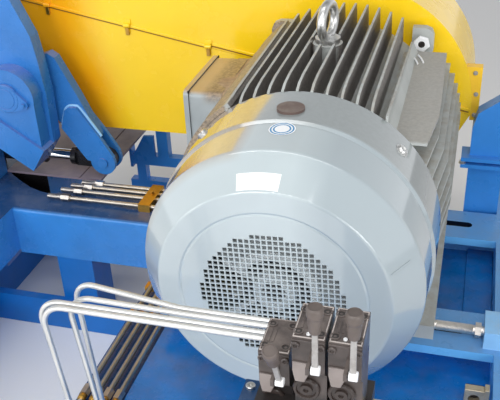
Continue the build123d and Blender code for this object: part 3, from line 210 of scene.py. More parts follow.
def add_patch(net, tone, low, high, soft, colour, strength=1, shade=1):
    """Spotted colour inside a box: dust on some paints, painted shade and painted reflection on others."""
    mask = net.times(net.inside(low, high, soft), strength)
    spots = net.ramp(net.noise(95, detail=6, rough=0.7), 0.4, 0.62)
    darker = srgb(*[c * shade for c in colour])
    return net.mix(mask, tone, net.mix(spots, darker, srgb(*colour)))


def paint(name, colour, rough=(0.28, 0.42), dust=0.25, dust_colour=(176, 170, 160), shade=0.86, coat=0,
          scuff=0, scuff_colour=(205, 214, 226), up_colour=None, up_strength=1, peel=0.12,
          blotch=9, cast=0, patches=(), fins=0):
    """Sprayed paint with tone changes, dust on upward faces, dust and painted shade on fin flanks, scuffs,
    orange peel and coloured patches, some of them painted shade and painted reflection.
    """
    net = Net(name)
    base = srgb(*colour)
    tone = net.mix(net.ramp(net.noise(blotch, detail=5), 0.35, 0.65), shaded(base, shade), base)
    up = net.facing_up()
    if up_colour:
        tone = net.mix(net.times(up, up_strength), tone, srgb(*up_colour))
    cloud = net.ramp(net.noise(26, detail=8, rough=0.62), 0.42, 0.72)
    tone = net.mix(net.times(net.times(cloud, up), dust), tone, srgb(*dust_colour))
    if fins:
        tone = add_fin_dust_and_shade(net, tone, fins)
    if scuff:
        tone = add_scuffs(net, tone, scuff, scuff_colour)
    for zone in patches:
        tone = add_patch(net, tone, *zone)
    net.shader.inputs["Coat Weight"].default_value = coat
    net.shader.inputs["Coat Roughness"].default_value = COAT_ROUGHNESS
    layers = [(net.noise(420, detail=2), peel, 0.0004)]
    if cast:
        layers.append((net.noise(55, detail=5, rough=0.6), cast, 0.0015))
    return net.finish(tone, net.noise(14, detail=6), rough, *layers)


def metal(name, colour, rough=(0.22, 0.38), grain=None, stain=0.25, stain_colour=(96, 84, 70),
          metallic=1, bump=0.08):
    """Bare or plated metal with a grain and light staining."""
    net = Net(name)
    base = srgb(*colour)
    lay = net.noise(90, detail=4, rough=0.6, stretch=grain)
    tone = net.mix(net.ramp(lay, 0.3, 0.7), shaded(base, 0.8), base)
    spots = net.ramp(net.noise(38, detail=7, rough=0.65), 0.52, 0.75)
    tone = net.mix(net.times(spots, stain), tone, srgb(*stain_colour))
    net.shader.inputs["Metallic"].default_value = metallic
    fine = net.noise(220, detail=3)
    return net.finish(tone, lay, rough, (lay, bump, 0.0003), (fine, bump, 0.0002))


def plastic(name, colour, rough=(0.4, 0.55)):
    """Moulded plastic or rubber with a fine surface grain."""
    net = Net(name)
    base = srgb(*colour)
    tone = net.mix(net.ramp(net.noise(35, detail=5), 0.35, 0.65), shaded(base, 0.8), base)
    fine = net.noise(300, detail=3)
    return net.finish(tone, net.noise(60, detail=4), rough, (fine, 0.15, 0.0004))


# Radius in metres and colour of the fan's turned zones, from the rim inwards
FAN_OUTSIDE = (34, 36, 38)
FAN_ZONES = ((0.1, (240, 244, 244)), (0.076, (16, 16, 18)), (0.047, (236, 242, 243)), (0.019, (18, 18, 20)))
FAN_ZONE_EDGE = 0.002


def fan_finish():
    """Cast fan with a bright hub face and rim, and a dark ring and bore between them."""
    net = Net("fan_cast")
    spot = net.split("ShaderNodeNewGeometry", "Position")
    axis = place(0, 0, 0)
    flat = net.add("ShaderNodeCombineXYZ")
    for name, centre in (("X", axis.x), ("Z", axis.z)):
        shift = net.add("ShaderNodeMath", [(0, spot[name]), (1, centre)], operation="SUBTRACT")
        net.link(shift.outputs["Value"], flat.inputs[name])
    length = net.add("ShaderNodeVectorMath", [(0, flat.outputs["Vector"])], operation="LENGTH")
    tone = srgb(*FAN_OUTSIDE)
    for radius, colour in FAN_ZONES:
        mask = net.ramp(length.outputs["Value"], radius + FAN_ZONE_EDGE, radius - FAN_ZONE_EDGE)
        tone = net.mix(mask, tone, srgb(*colour))
    return net.finish(tone, net.noise(40), (0.35, 0.5), (net.noise(90), 0.2, 0.0006))


# Coloured zones of the paints, for dust, painted shade and painted reflection: low and high corner, soft
# edge, colour, strength and shade

# Painted shade: near black on the faces inside the notch cut in the beams
NOTCH_PAINTED_SHADE = ((-1203, 455, -429), (-868, 587, -318.6), (0.5, 0.5, 0.5), (20, 19, 22))
# Painted shade on the walls of the slots in the motor rails
SLOT_PAINTED_SHADE = (8, 22, 44)
SLOT_SOFT = (0.3, 0.3, 0.3)
FRONT_SLOT_SHADE = ((-402, 20.5, -343), (402, 49.5, -318.4), SLOT_SOFT, SLOT_PAINTED_SHADE)
REAR_SLOT_SHADE = ((-402, 528.5, -343), (402, 557.5, -318.4), SLOT_SOFT, SLOT_PAINTED_SHADE)
PAD_TOP = ((201, 8, 205), (400, 580, 214.5), (2, 2, 2), (166, 163, 156), 0.9, 0.92)
BOX_SIDE_DUST = ((-420, -10, 40), (-194, 640, 262), (6, 6, 6), (178, 154, 126), 0.85, 0.6)
# Painted shade darkening the drum behind the step
DRUM_PAINTED_SHADE = ((-400, -150, -400), (400, 10, 400), (14, 14, 14), (140, 147, 147), 1, 0.97)
# Painted shade darkening the cone's right side
CONE_RIGHT_SHADE = ((110, -420, -400), (420, -150, 400), (70, 8, 70), (160, 171, 176), 0.85)
# Painted reflection of the yellow guard, tan, on the drum's upper left
DRUM_LEFT_REFLECTION = ((-400, -262, 60), (-92, 10, 400), (26, 26, 26), (172, 158, 140), 0.7, 0.95)
BOX_TOP_DUST = ((-336, 250, 150), (-290, 640, 170), (26, 26, 26), (170, 146, 118), 0.8, 0.6)
# Painted shade: orange where the hood's shadow falls on the guard's left, lower down too
GUARD_LEFT_SHADE = ((-1300, 600, -400), (-960, 701, 600), (150, 1, 150), (255, 168, 16), 0.8)
GUARD_LOW_LEFT_SHADE = ((-1300, 600, -400), (-900, 701, 0), (140, 1, 140), (255, 160, 12), 0.65)
VALVE_FOOT = ((60, -900, 80), (300, -600, 172), (16, 16, 16), (34, 31, 31), 0.85, 0.8)

# Paints, metals and plastics

BLUE = paint("frame_paint", (42, 124, 208), dust=0.25, dust_colour=(120, 136, 170), scuff=0.2,
             up_colour=(60, 116, 186), up_strength=0.6)
BEAM = paint("beam_paint", (58, 138, 216), rough=(0.2, 0.34), dust=0.35, dust_colour=(86, 98, 130), scuff=0.4,
             scuff_colour=(120, 150, 196), up_colour=(24, 54, 98), up_strength=0.9, patches=(NOTCH_PAINTED_SHADE,))
BASE = paint("base_paint", (6, 112, 196), dust=0.1, scuff=0.1)
# Rail, column and block paints are brighter than the frame blue: painted light on their fronts
RAIL = paint("rail_paint_lit", (110, 190, 252), rough=(0.24, 0.36), dust=0.35, dust_colour=(120, 140, 176),
             scuff=0.3, up_colour=(96, 146, 200), up_strength=0.7, patches=(FRONT_SLOT_SHADE, REAR_SLOT_SHADE))
COLUMN = paint("column_paint_lit", (56, 138, 220), rough=(0.24, 0.36), dust=0.1, scuff=0.1)
BLOCK = paint("block_paint_lit", (150, 206, 252), rough=(0.24, 0.36), dust=0.3, scuff=0.5,
              scuff_colour=(236, 240, 246))
DECK = paint("deck_paint", (16, 120, 200), rough=(0.2, 0.34), dust=0.35, dust_colour=(96, 106, 160),
             scuff=0.6, scuff_colour=(150, 180, 224), shade=0.7)
TRAY = paint("tray_paint", (136, 124, 138), rough=(0.45, 0.6), dust=0.5, dust_colour=(156, 144, 146),
             shade=0.8)
HOOD = paint("hood_paint", (50, 123, 199), rough=(0.22, 0.34), dust=0.2, scuff=0.18,
             up_colour=(110, 128, 196), up_strength=0.6)
MOTOR = paint("motor_paint", (184, 188, 185), rough=(0.4, 0.55), dust=0.8, dust_colour=(158, 148, 134),
              cast=0.25, patches=(PAD_TOP, BOX_SIDE_DUST), fins=0.85)
COVER = paint("cover_paint", (184, 195, 198), rough=(0.1, 0.16), dust=0.08, coat=1, peel=0.04, shade=0.96,
              patches=(DRUM_PAINTED_SHADE, CONE_RIGHT_SHADE, DRUM_LEFT_REFLECTION))
BOX = paint("box_paint", (168, 176, 178), rough=(0.3, 0.42), dust=0.9, dust_colour=(190, 160, 116),
            up_colour=(196, 164, 116), up_strength=0.85, cast=0.15, patches=(BOX_TOP_DUST,))
NECK = paint("neck_cast", (184, 158, 128), rough=(0.6, 0.8), dust=0.9, dust_colour=(170, 140, 108), shade=0.6,
             blotch=60, cast=1)
YELLOW = paint("guard_paint", (255, 212, 30), rough=(0.2, 0.3), dust=0.05, coat=0.3, peel=0.06, shade=0.98,
               patches=(GUARD_LEFT_SHADE, GUARD_LOW_LEFT_SHADE))
ORANGE = paint("clamp_paint", (255, 203, 44), rough=(0.35, 0.5), dust=0.25, scuff=0.6,
               scuff_colour=(160, 104, 34))
VALVE = paint("valve_paint", (88, 79, 76), rough=(0.26, 0.4), dust=0.5, dust_colour=(150, 138, 130), cast=0.3,
              shade=0.6, blotch=34, patches=(VALVE_FOOT,))
RIM = paint("valve_rim", (196, 186, 180), rough=(0.3, 0.4), dust=0.1, shade=0.8, blotch=40)
# Dark paint in sockets, holes, the fan's bore and the rail slots: painted shade in hollows
HOLLOW_SHADE = paint("valve_recess", (44, 39, 38), rough=(0.3, 0.4), dust=0.1)
PORT = paint("valve_port", (58, 49, 46), rough=(0.2, 0.3), dust=0.3, dust_colour=(150, 138, 130), cast=0.3)
STAND = paint("stand_paint", (10, 92, 156), rough=(0.22, 0.34), dust=0.1, up_colour=(8, 62, 108))
FACET = paint("valve_facet", (141, 131, 127), rough=(0.3, 0.4), dust=0.1, shade=0.85, blotch=30)
BROWN = paint("plug_paint", (98, 80, 74), rough=(0.35, 0.5), dust=0.3)
BLACK = paint("cylinder_paint", (30, 30, 34), rough=(0.25, 0.38), dust=0.3, dust_colour=(110, 100, 100))
FAN_FACE = paint("fan_face", (232, 236, 237), rough=(0.35, 0.5), dust=0.05, shade=0.96)
FAN_WEB_SHADE = paint("fan_web_shade", (150, 154, 155), rough=(0.35, 0.5), dust=0.3)
WHITE = paint("white_mark", (244, 245, 246), rough=(0.3, 0.4), dust=0.05, shade=0.97)
STICKER_BLUE = paint("sticker_blue", (70, 146, 196), rough=(0.25, 0.35), dust=0.05)
STEEL = metal("bright_steel", (238, 231, 222), rough=(0.32, 0.46), grain=(1, 6, 6))
ZINC = metal("zinc_plate", (226, 226, 224), rough=(0.28, 0.42), stain=0.12)
CHROME = metal("rod_chrome", (226, 226, 228), rough=(0.05, 0.1), grain=(1, 30, 30), stain=0.04, bump=0.02)
TUBE = metal("tube_steel", (236, 236, 233), rough=(0.4, 0.44), grain=(0.15, 0.15, 0.15), stain=0.06,
             bump=0.005)
TRAY_TUBE = metal("tube_bronze", (206, 196, 182), rough=(0.34, 0.42), grain=(0.3, 0.1, 0.3), stain=0.2,
                  bump=0.01)
FITTING = metal("fitting_steel", (196, 190, 184), rough=(0.28, 0.42), stain=0.5, stain_colour=(96, 84, 74))
BRASS = metal("brass", (214, 166, 80), rough=(0.28, 0.42), stain=0.3, stain_colour=(110, 80, 34))
YELLOW_ZINC = metal("yellow_zinc", (206, 192, 166), rough=(0.35, 0.5), stain=0.4, stain_colour=(150, 128, 96),
                    metallic=0.6)
PALE_BAR = metal("lever_bar", (176, 173, 171), rough=(0.35, 0.5), metallic=0.3, stain=0.4)
KNOB = plastic("knob", (99, 89, 84))
RUBBER = plastic("gasket", (34, 30, 32), rough=(0.5, 0.7))
GAP = plastic("guard_gap", (150, 92, 8), rough=(0.5, 0.7))
FAN = fan_finish()

LOOKS = {
    BLUE: "front_beam column_beam",
    STAND: "valve_stand",
    BEAM: "left_side_beam cross_beam middle_beam",
    BASE: "posts base_end_beams base_side_beams base_cross_beam",
    RAIL: "motor_rails right_side_beam",
    COLUMN: "column_head rear_column guard_stand",
    BLOCK: "adjusting_block",
    DECK: "deck_plate",
    TRAY: "cylinder_deck",
    HOOD: "hood_side_plate hinge_lug hinge_pedestal lever_arm hinge_pin lever_pin",
    MOTOR: "motor_housing motor_feet drive_end_shield",
    BOX: "terminal_box terminal_box_lid",
    COVER: "fan_cover fan_grille",
    FAN: "fan",
    BROWN: "cover_plug",
    YELLOW: "guard_upper guard_lower",
    ORANGE: "guard_clamp",
    STEEL: "motor_shaft adjusting_screw",
    ZINC: "foot_bolts lifting_eye",
    CHROME: "cylinder_rod",
    BLACK: "cylinder_barrel cylinder_bracket rod_head",
    VALVE: "valve_left valve_middle valve_right manifold",
    TUBE: "delivery_tubes",
    FITTING: "tube_fittings",
    TRAY_TUBE: "tray_tubes",
    BRASS: "tube_clamps manifold_end_block",
    YELLOW_ZINC: "deck_lug",
    KNOB: "valve_lever_left valve_lever_middle valve_lever_right",
}

# Width in millimetres of the softened edges
EDGES = {
    4: "left_side_beam right_side_beam",
    3: "guard_upper guard_lower hinge_pedestal motor_feet",
    2: "terminal_box_lid lever_arm hood_side_plate hinge_lug adjusting_block rod_head",
    1.5: "terminal_box motor_rails rear_column column_head deck_lug guard_clamp",
    1.2: "valve_left valve_middle valve_right",
    1: "manifold",
}
EDGE_ANGLE = 40
SMOOTH_ANGLE = 35


def soften(piece, width):
    """Round a piece's sharp edges, by a width in millimetres."""
    edge = piece.modifiers.new("edge", "BEVEL")
    edge.width = width / 1000
    edge.segments = 2
    edge.limit_method = "ANGLE"
    edge.angle_limit = math.radians(EDGE_ANGLE)


for look, names in LOOKS.items():
    for name in names.split():
        mesh = nodes[name].data
        mesh.materials.clear()
        mesh.materials.append(look)

for width, names in EDGES.items():
    for name in names.split():
        soften(nodes[name], width)


# Detail pieces, built in millimetres from the motor axis

LEFTWARDS = (-1, 0, 0)
RIGHTWARDS = (1, 0, 0)
FORWARDS = (0, -1, 0)
BACKWARDS = (0, 1, 0)
UPWARDS = (0, 0, 1)
LEAST_R = 0.02
MERGE_REACH = 0.000005


def arc(x, z, radius, start, sweep, steps):
    """Points of an arc from a start angle over a sweep, both in degrees."""
    points = []
    for i in range(steps + 1):
        turn = math.radians(start + sweep * i / steps)
        points.append((x + radius * math.cos(turn), z + radius * math.sin(turn)))
    return points


CORNERS = ((-1, -1), (1, -1), (1, 1), (-1, 1))


def circle(steps, start=0):
    """Cosine and sine at even steps round a circle, from a share of the first step."""
    turns = [math.tau * (i + start) / steps for i in range(steps)]
    return [(math.cos(turn), math.sin(turn)) for turn in turns]


class Shape:
    """Collects faces for one piece."""

    def __init__(self):
        self.bm = bmesh.new()

    def corners(self, points):
        return [self.bm.verts.new(place(*point)) for point in points]

    def loft(self, rings, caps=True):
        """Skin between rings of points, with flat ends."""
        loops = [self.corners(ring) for ring in rings]
        for low, high in zip(loops, loops[1:]):
            count = len(low)
            for i in range(count):
                after = (i + 1) % count
                self.bm.faces.new((low[i], low[after], high[after], high[i]))
        if caps:
            self.bm.faces.new(loops[0][::-1])
            self.bm.faces.new(loops[-1])

    def block(self, x0, x1, y0, y1, z0, z1):
        self.loft([[(x0, y0, z), (x1, y0, z), (x1, y1, z), (x0, y1, z)] for z in (z0, z1)])
        return self

    def prism_x(self, outline, x0, x1):
        self.loft([[(x, y, z) for y, z in outline] for x in (x0, x1)])

    def prism_y(self, outline, y0, y1):
        self.loft([[(x, y, z) for x, z in outline] for y in (y0, y1)])

    def prism_z(self, outline, z0, z1):
        self.loft([[(x, y, z) for x, y in outline] for z in (z0, z1)])

    def turned(self, profile, spot, axis, steps=24):
        """Turns (radius, height) pairs about an axis through a spot."""
        axis = Vector(axis).normalized()
        side = axis.orthogonal().normalized()
        other = axis.cross(side)
        spot = Vector(spot)
        rings = []
        for radius, height in profile:
            radius = max(radius, LEAST_R)
            rings.append([spot + axis * height + (side * a + other * b) * radius for a, b in circle(steps)])
        self.loft(rings)
        return self

    def tube(self, points, radius, steps=10):
        """Round bead along points."""
        points = [Vector(point) for point in points]
        rings = []
        side = None
        for i, point in enumerate(points):
            ahead = points[min(i + 1, len(points) - 1)] - points[max(i - 1, 0)]
            ahead.normalize()
            if side is None:
                side = ahead.orthogonal().normalized()
            side = (side - ahead * side.dot(ahead)).normalized()
            other = ahead.cross(side)
            rings.append([point + side * (radius * a) + other * (radius * b) for a, b in circle(steps)])
        self.loft(rings)

    def hex_bolt(self, spot, axis, flats, head, washer=1.4):
        """Hexagon head with a chamfered top on a round washer."""
        corner = flats / math.sqrt(3)
        self.turned([(corner * 1.25, 0), (corner * 1.25, washer), (corner * 1.05, washer)], spot, axis)
        self.turned([(corner, washer), (corner, washer + head * 0.85), (corner * 0.86, washer + head),
                     (0, washer + head)], spot, axis, 6)
        return self

    def socket_screw(self, spot, axis, radius, head):
        """Round head with a hexagon socket in its top."""
        self.turned([(radius, 0), (radius, head * 0.85), (radius * 0.9, head), (radius * 0.58, head),
                     (radius * 0.5, head * 0.35), (0, head * 0.3)], spot, axis, 18)

    def done(self, name, look, slot, body="frame", bevel=0):
        """Turn the collected faces into a piece that rides on a body."""
        bmesh.ops.remove_doubles(self.bm, verts=self.bm.verts, dist=MERGE_REACH)
        bmesh.ops.recalc_face_normals(self.bm, faces=self.bm.faces)
        mesh = bpy.data.meshes.new(name)
        self.bm.to_mesh(mesh)
        self.bm.free()
        mesh.materials.append(look)
        mesh.polygons.foreach_set("use_smooth", [True] * len(mesh.polygons))
        mesh.set_sharp_from_angle(angle=math.radians(SMOOTH_ANGLE))
        piece = add_object(name, mesh)
        if bevel:
            soften(piece, bevel)
        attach(piece, body)
        return piece


# Fan cover: perforated grille

COVER_R = 317
COVER_FRONT = -338
GRILLE_R = 158
GRILLE_STEPS = 96
GRILLE_HALF_THICK = 1.9
GRILLE_MIDDLE = 2
HOLE = 9
HOLE_PITCH_X = 12
HOLE_PITCH_Z = 11.7
HOLE_REACH = 157.2
GRILLE_LEAN = 3


def grille_holes():
    """Outlines of the square holes, in leaning rows inside the rim."""
    half = HOLE / 2
    count = int(HOLE_REACH / HOLE_PITCH_X) + 1
    lean = Matrix.Rotation(math.radians(GRILLE_LEAN), 2)
    holes = []
    for column in range(-count, count):
        for row in range(-count, count):
            x = (column + 0.5) * HOLE_PITCH_X
            z = (row + 0.5) * HOLE_PITCH_Z
            if math.hypot(abs(x) + half, abs(z) + half) < HOLE_REACH:
                holes.append([lean @ Vector((x + a * half, z + b * half)) for a, b in CORNERS])
    return holes


def make_grille():
    """Round sheet with rows of square holes."""
    curve = bpy.data.curves.new("grille", "CURVE")
    curve.dimensions = "2D"
    curve.fill_mode = "BOTH"
    curve.extrude = GRILLE_HALF_THICK / 1000
    for outline in [arc(0, 0, GRILLE_R, 0, 360, GRILLE_STEPS)[:-1]] + grille_holes():
        spline = curve.splines.new("POLY")
        spline.points.add(len(outline) - 1)
        for point, (x, z) in zip(spline.points, outline):
            point.co = (x / 1000, z / 1000, 0, 1)
        spline.use_cyclic_u = True
    sheet = bpy.data.objects.new("grille_sheet", curve)
    mesh = bpy.data.meshes.new_from_object(sheet)
    bpy.data.objects.remove(sheet)
    upright = Matrix.Rotation(math.radians(90), 4, "X")
    mesh.transform(Matrix.Translation(place(0, COVER_FRONT + GRILLE_MIDDLE, 0)) @ upright)
    mesh.materials.clear()
    mesh.materials.append(COVER)
    grille = add_object("grille", mesh)
    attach(grille, "frame")
    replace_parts(grille, "fan_grille")


# Fan: (radius, place along the axis) sections close behind the grille, angles in degrees

# The ring and web are built only over the lit arc; the web's grey is painted shade
FAN_LIT_ARC = (-48, 148)
FAN_ARC_STEPS = 36
FAN_RING = ((77, -304.5), (99, -304.5), (99, -318), (96, -321), (80, -321), (77, -318))
FAN_WEB = ((99.5, -304.5), (150, -304.5), (150, -309), (99.5, -315))
FAN_EDGE = ((46, -305), (128, -305), (128, -312), (46, -317))
FAN_EDGES = (148, 214)
FAN_EDGE_SWEEP = 6
FAN_HUB = ((45, 304.5), (45, 321), (43, 323), (26.5, 323), (25, 321), (25, 312), (0, 312))
FAN_BORE = ((24.5, 312.2), (24.5, 313), (7, 313), (6, 310.5), (0, 310.5))


def fan_arc(shape, section, low, high):
    """Sweep a section round the motor axis, between two angles."""
    rings = []
    for i in range(FAN_ARC_STEPS + 1):
        turn = math.radians(low + (high - low) * i / FAN_ARC_STEPS)
        rings.append([(r * math.cos(turn), y, r * math.sin(turn)) for r, y in section])
    shape.loft(rings)


def make_fan_face():
    """Turned face of the fan's hub, the lit part of its web in a grey of painted shade, and two blade edges;
    the ring and web stand only over the lit arc.
    """
    ring = Shape()
    fan_arc(ring, FAN_RING, *FAN_LIT_ARC)
    for angle in FAN_EDGES:
        fan_arc(ring, FAN_EDGE, angle, angle + FAN_EDGE_SWEEP)
    ring.done("fan_ring", FAN_FACE, "fan_grey", "rotor")
    web = Shape()
    fan_arc(web, FAN_WEB, *FAN_LIT_ARC)
    web.done("fan_web_shade", FAN_WEB_SHADE, "fan_grey", "rotor")
    Shape().turned(FAN_HUB, (0, 0, 0), FORWARDS, 48).done("fan_hub", FAN_FACE, "fan_grey", "rotor")
    Shape().turned(FAN_BORE, (0, 0, 0), FORWARDS, 24).done("fan_bore", HOLLOW_SHADE, "fan_grey", "rotor")


# Fan cover: screws, sticker, label and ridge

DRUM_R = COVER_R - 5
DRUM_EDGE_Y = -157
SHOULDER_R = 307
SHOULDER_Y = -270
RIM_R = 249
COVER_SCREW_ANGLES = (45.2, 134.8)
COVER_SCREW_Y = -66
COVER_SCREW_SEAT = 0.5
COVER_SCREW = ((16, 0), (16, 1.4), (13, 2.4), (13, 4), (10.5, 7.5), (6, 9), (5, 9), (3, 6.5), (0, 6.5))
STICKER_ANGLE = 91.6
STICKER_Y = -183
STICKER_LIFT = 0.5
STICKER_STEPS = 40
STICKER_RINGS = (("edge", 28, 25.5, WHITE), ("ring", 25.5, 22, STICKER_BLUE), ("band", 22, 19, WHITE),
                 ("line", 19, 15.5, STICKER_BLUE), ("face", 15.5, 0.5, WHITE))
SHEET_LIFT = 0.1
LABEL_ANGLES = (86, 105)
LABEL_Y = (-334, -307)
LABEL_THICK = 0.7
RIDGE_ANGLES = (20, 20.7)
RIDGE_Y = (-331, -292)
RIDGE_THICK = 2.2


def on_drum(angle, y, radius):
    """Point at an angle in degrees round the motor axis."""
    turn = math.radians(angle)
    return (radius * math.cos(turn), y, radius * math.sin(turn))


def drum_radius(y):
    """Radius of the drum between its step and its shoulder."""
    slope = (DRUM_R - SHOULDER_R) / (DRUM_EDGE_Y - SHOULDER_Y)
    return DRUM_R + (y - DRUM_EDGE_Y) * slope


def cone_radius(y):
    """Radius of the cone between the shoulder and the face."""
    slope = (SHOULDER_R - RIM_R) / (SHOULDER_Y - COVER_FRONT)
    return SHOULDER_R + (y - SHOULDER_Y) * slope


def sheet_on_cone(shape, angles, ys, thick, rows=2, columns=16):
    """Thin sheet laid on the cone, between two angles and two places along it."""
    for i in range(columns):
        a = angles[0] + (angles[1] - angles[0]) * i / columns
        b = angles[0] + (angles[1] - angles[0]) * (i + 1) / columns
        for k in range(rows):
            c = ys[0] + (ys[1] - ys[0]) * k / rows
            d = ys[0] + (ys[1] - ys[0]) * (k + 1) / rows
            shape.loft([[on_drum(t, y, cone_radius(y) + lift) for t, y in ((a, c), (b, c), (b, d), (a, d))]
                        for lift in (SHEET_LIFT, thick)])


def sticker_ring(name, outer, inner, look):
    """One ring of the round sticker, bent round the drum."""
    ring = Shape()
    loops = []
    for radius in (outer, (outer + inner) / 2, inner):
        loop = []
        for across, along in circle(STICKER_STEPS):
            y = STICKER_Y + radius * along
            angle = STICKER_ANGLE + math.degrees(radius * across / DRUM_R)
            loop.append(on_drum(angle, y, drum_radius(y) + STICKER_LIFT))
        loops.append(loop)
    ring.loft(loops, caps=inner < 1)
    ring.done("sticker_" + name, look, "cover_grey")


def make_cover_details():
    """Screws of the cover, its sticker and label, and the short ridge on its cone."""
    screws = Shape()
    for angle in COVER_SCREW_ANGLES:
        spot = on_drum(angle, COVER_SCREW_Y, COVER_R - COVER_SCREW_SEAT)
        screws.turned(COVER_SCREW, spot, on_drum(angle, 0, 1), 20)
    screws.done("cover_screws", ZINC, "zinc_steel")
    for name, outer, inner, look in STICKER_RINGS:
        sticker_ring(name, outer, inner, look)
    label = Shape()
    sheet_on_cone(label, LABEL_ANGLES, LABEL_Y, LABEL_THICK)
    label.done("cover_label", WHITE, "cover_grey")
    ridge = Shape()
    sheet_on_cone(ridge, RIDGE_ANGLES, RIDGE_Y, RIDGE_THICK, columns=1)
    ridge.done("cover_ridge", COVER, "cover_grey")


make_grille()
make_fan_face()
make_cover_details()


# Motor top: boss under the eye

EYE_SPOT = (-8, 310, 0)
EYE_BOSS = ((36, 290), (38.6, 290), (38.6, 316), (36.5, 321), (33, 322.6), (30, 323))

# Cast neck under the terminal box: (place along the motor, drop of its top) sections
NECK_SECTIONS = ((309, 6), (320, 0), (400, -3), (500, 2), (586, 0))
NECK_TOP = ((-332, 158), (-300, 159), (-268, 168), (-244, 190), (-232, 214), (-224, 214))
NECK_UNDER = ((-224, 150), (-280, 110), (-332, 100))

# Terminal box: sides, gasket under its lid, and the lid's screws
WING_Y = (305.8, 590.2)
WING_Z = (-90, 160.2)
WING_X = (-390, -300)
WING_ROUND = 18
GASKET = (-397.5, -394.5, 303.5, 592.5, -92.5, 162.5)
LID_X = -409
LID_SCREW_Y = (322, 574)
LID_SCREW_Z = (-74, 144)

# Hexagon nuts on the ears of the drive end shield, and two clips on the motor's pad
EAR_SPOT = (206, 621, 222)
EAR_NUT = ((24, 0), (24, 7), (21.5, 9), (8, 9), (7, 3), (0, 3))
EAR_HOLE = ((9.5, 0), (9.5, 9.4), (5, 9.4), (4.4, 8), (0, 8))
PAD_CLIPS = (((190, 529, 216), (199, 502, 218), (208, 475, 216)),
             ((204, 540, 216), (213, 515, 218), (222, 488, 216)))
CLIP_R = 2.6


def make_box_details():
    """Neck, sides, gasket and screws of the terminal box."""
    neck = Shape()
    rings = []
    for y, drop in NECK_SECTIONS:
        rings.append([(x, y, z - drop) for x, z in NECK_TOP] + [(x, y, z) for x, z in NECK_UNDER])
    neck.loft(rings)
    neck.done("box_neck", NECK, "motor_grey")
    wing = Shape()
    front = WING_Y[0] + WING_ROUND
    rear = WING_Y[1] - WING_ROUND
    low = WING_Z[0] + WING_ROUND
    high = WING_Z[1] - WING_ROUND
    outline = []
    for y, z, start in ((front, low, 180), (rear, low, 270), (rear, high, 0), (front, high, 90)):
        outline += arc(y, z, WING_ROUND, start, 90, 6)
    wing.prism_x(outline, *WING_X)
    wing.done("box_wing", BOX, "motor_grey")
    Shape().block(*GASKET).done("box_gasket", RUBBER, "motor_grey", bevel=1)
    screws = Shape()
    for y in LID_SCREW_Y:
        for z in LID_SCREW_Z:
            screws.socket_screw((LID_X, y, z), LEFTWARDS, 7, 5)
    screws.done("box_screws", ZINC, "zinc_steel")


def make_motor_details():
    """Boss, terminal box, ear nuts and pad clips."""
    Shape().turned(EYE_BOSS, EYE_SPOT, UPWARDS, 48).done("eye_boss", MOTOR, "motor_grey")
    make_box_details()
    nuts = Shape()
    holes = Shape()
    x, y, z = EAR_SPOT
    for side in (-1, 1):
        nuts.turned(EAR_NUT, (side * x, y, z), FORWARDS, 6)
        holes.turned(EAR_HOLE, (side * x, y, z), FORWARDS, 18)
    nuts.done("ear_screws", WHITE, "zinc_steel")
    holes.done("ear_screw_holes", HOLLOW_SHADE, "zinc_steel")
    clips = Shape()
    for points in PAD_CLIPS:
        clips.tube(points, CLIP_R)
    clips.done("pad_clips", WHITE, "zinc_steel")


make_motor_details()


# Belt guard: lip along the seam, catches and clamp bolts

GUARD_FRONT = 700
GUARD_R = 361
CLAMP_R = 383
SEAM_AT_AXIS = 50
SEAM_FALL = 0.203
SEAM_RUNS = ((-1180, -468, 0), (-458, 355, 10))
LIP_HEIGHT = 9
GAP_HEIGHT = 4.5
CATCH_X = (-1015, -738, -465)
CLAMP_BOLT_Z = (112, 45, -22)


def seam_z(x):
    """Height of the seam between the guard's halves."""
    return SEAM_AT_AXIS - SEAM_FALL * x


def seam_strip(shape, x0, x1, low, high, y0, y1):
    """Strip along the seam, between two heights above it."""
    shape.prism_y([(x0, seam_z(x0) + low), (x1, seam_z(x1) + low), (x1, seam_z(x1) + high),
                   (x0, seam_z(x0) + high)], y0, y1)


def make_guard_details():
    """Lip and gap of the seam, catches with their hooks, and the clamp's bolts."""
    lip = Shape()
    gap = Shape()
    for x0, x1, lift in SEAM_RUNS:
        seam_strip(lip, x0, x1, lift, lift + LIP_HEIGHT, GUARD_FRONT - 4, GUARD_FRONT + 1)
        seam_strip(gap, x0, x1, lift - GAP_HEIGHT, lift, GUARD_FRONT - 0.8, GUARD_FRONT + 0.5)
    lip.done("guard_lip", YELLOW, "guard_yellow", bevel=1.5)
    gap.done("guard_gap", GAP, "guard_yellow")
    catch = Shape()
    hook = Shape()
    for x in CATCH_X:
        z = seam_z(x)
        catch.block(x - 13, x + 13, GUARD_FRONT - 4, GUARD_FRONT, z + 10, z + 26)
        catch.turned([(7, -11), (7, 11)], (x, GUARD_FRONT - 8, z + 6), RIGHTWARDS, 14)
        hook.block(x - 6, x + 6, GUARD_FRONT - 9, GUARD_FRONT - 4, z - 26, z - 2)
        hook.turned([(6.5, 0), (6.5, 4), (3.5, 6), (0, 6)], (x, GUARD_FRONT, z - 20), FORWARDS, 14)
    catch.done("guard_catches", YELLOW, "guard_yellow", bevel=1.2)
    hook.done("guard_hooks", BRASS, "guard_yellow", bevel=1)
    bolts = Shape()
    for z in CLAMP_BOLT_Z:
        reach = math.sqrt(GUARD_R ** 2 - z ** 2)
        bolts.hex_bolt(((reach + CLAMP_R) / 2, GUARD_FRONT, z), FORWARDS, 9.5, 5)
    bolts.done("clamp_bolts", PALE_BAR, "zinc_steel")


make_guard_details()


# Hinge: pin cap with its keeper, and the weld beads of the lever

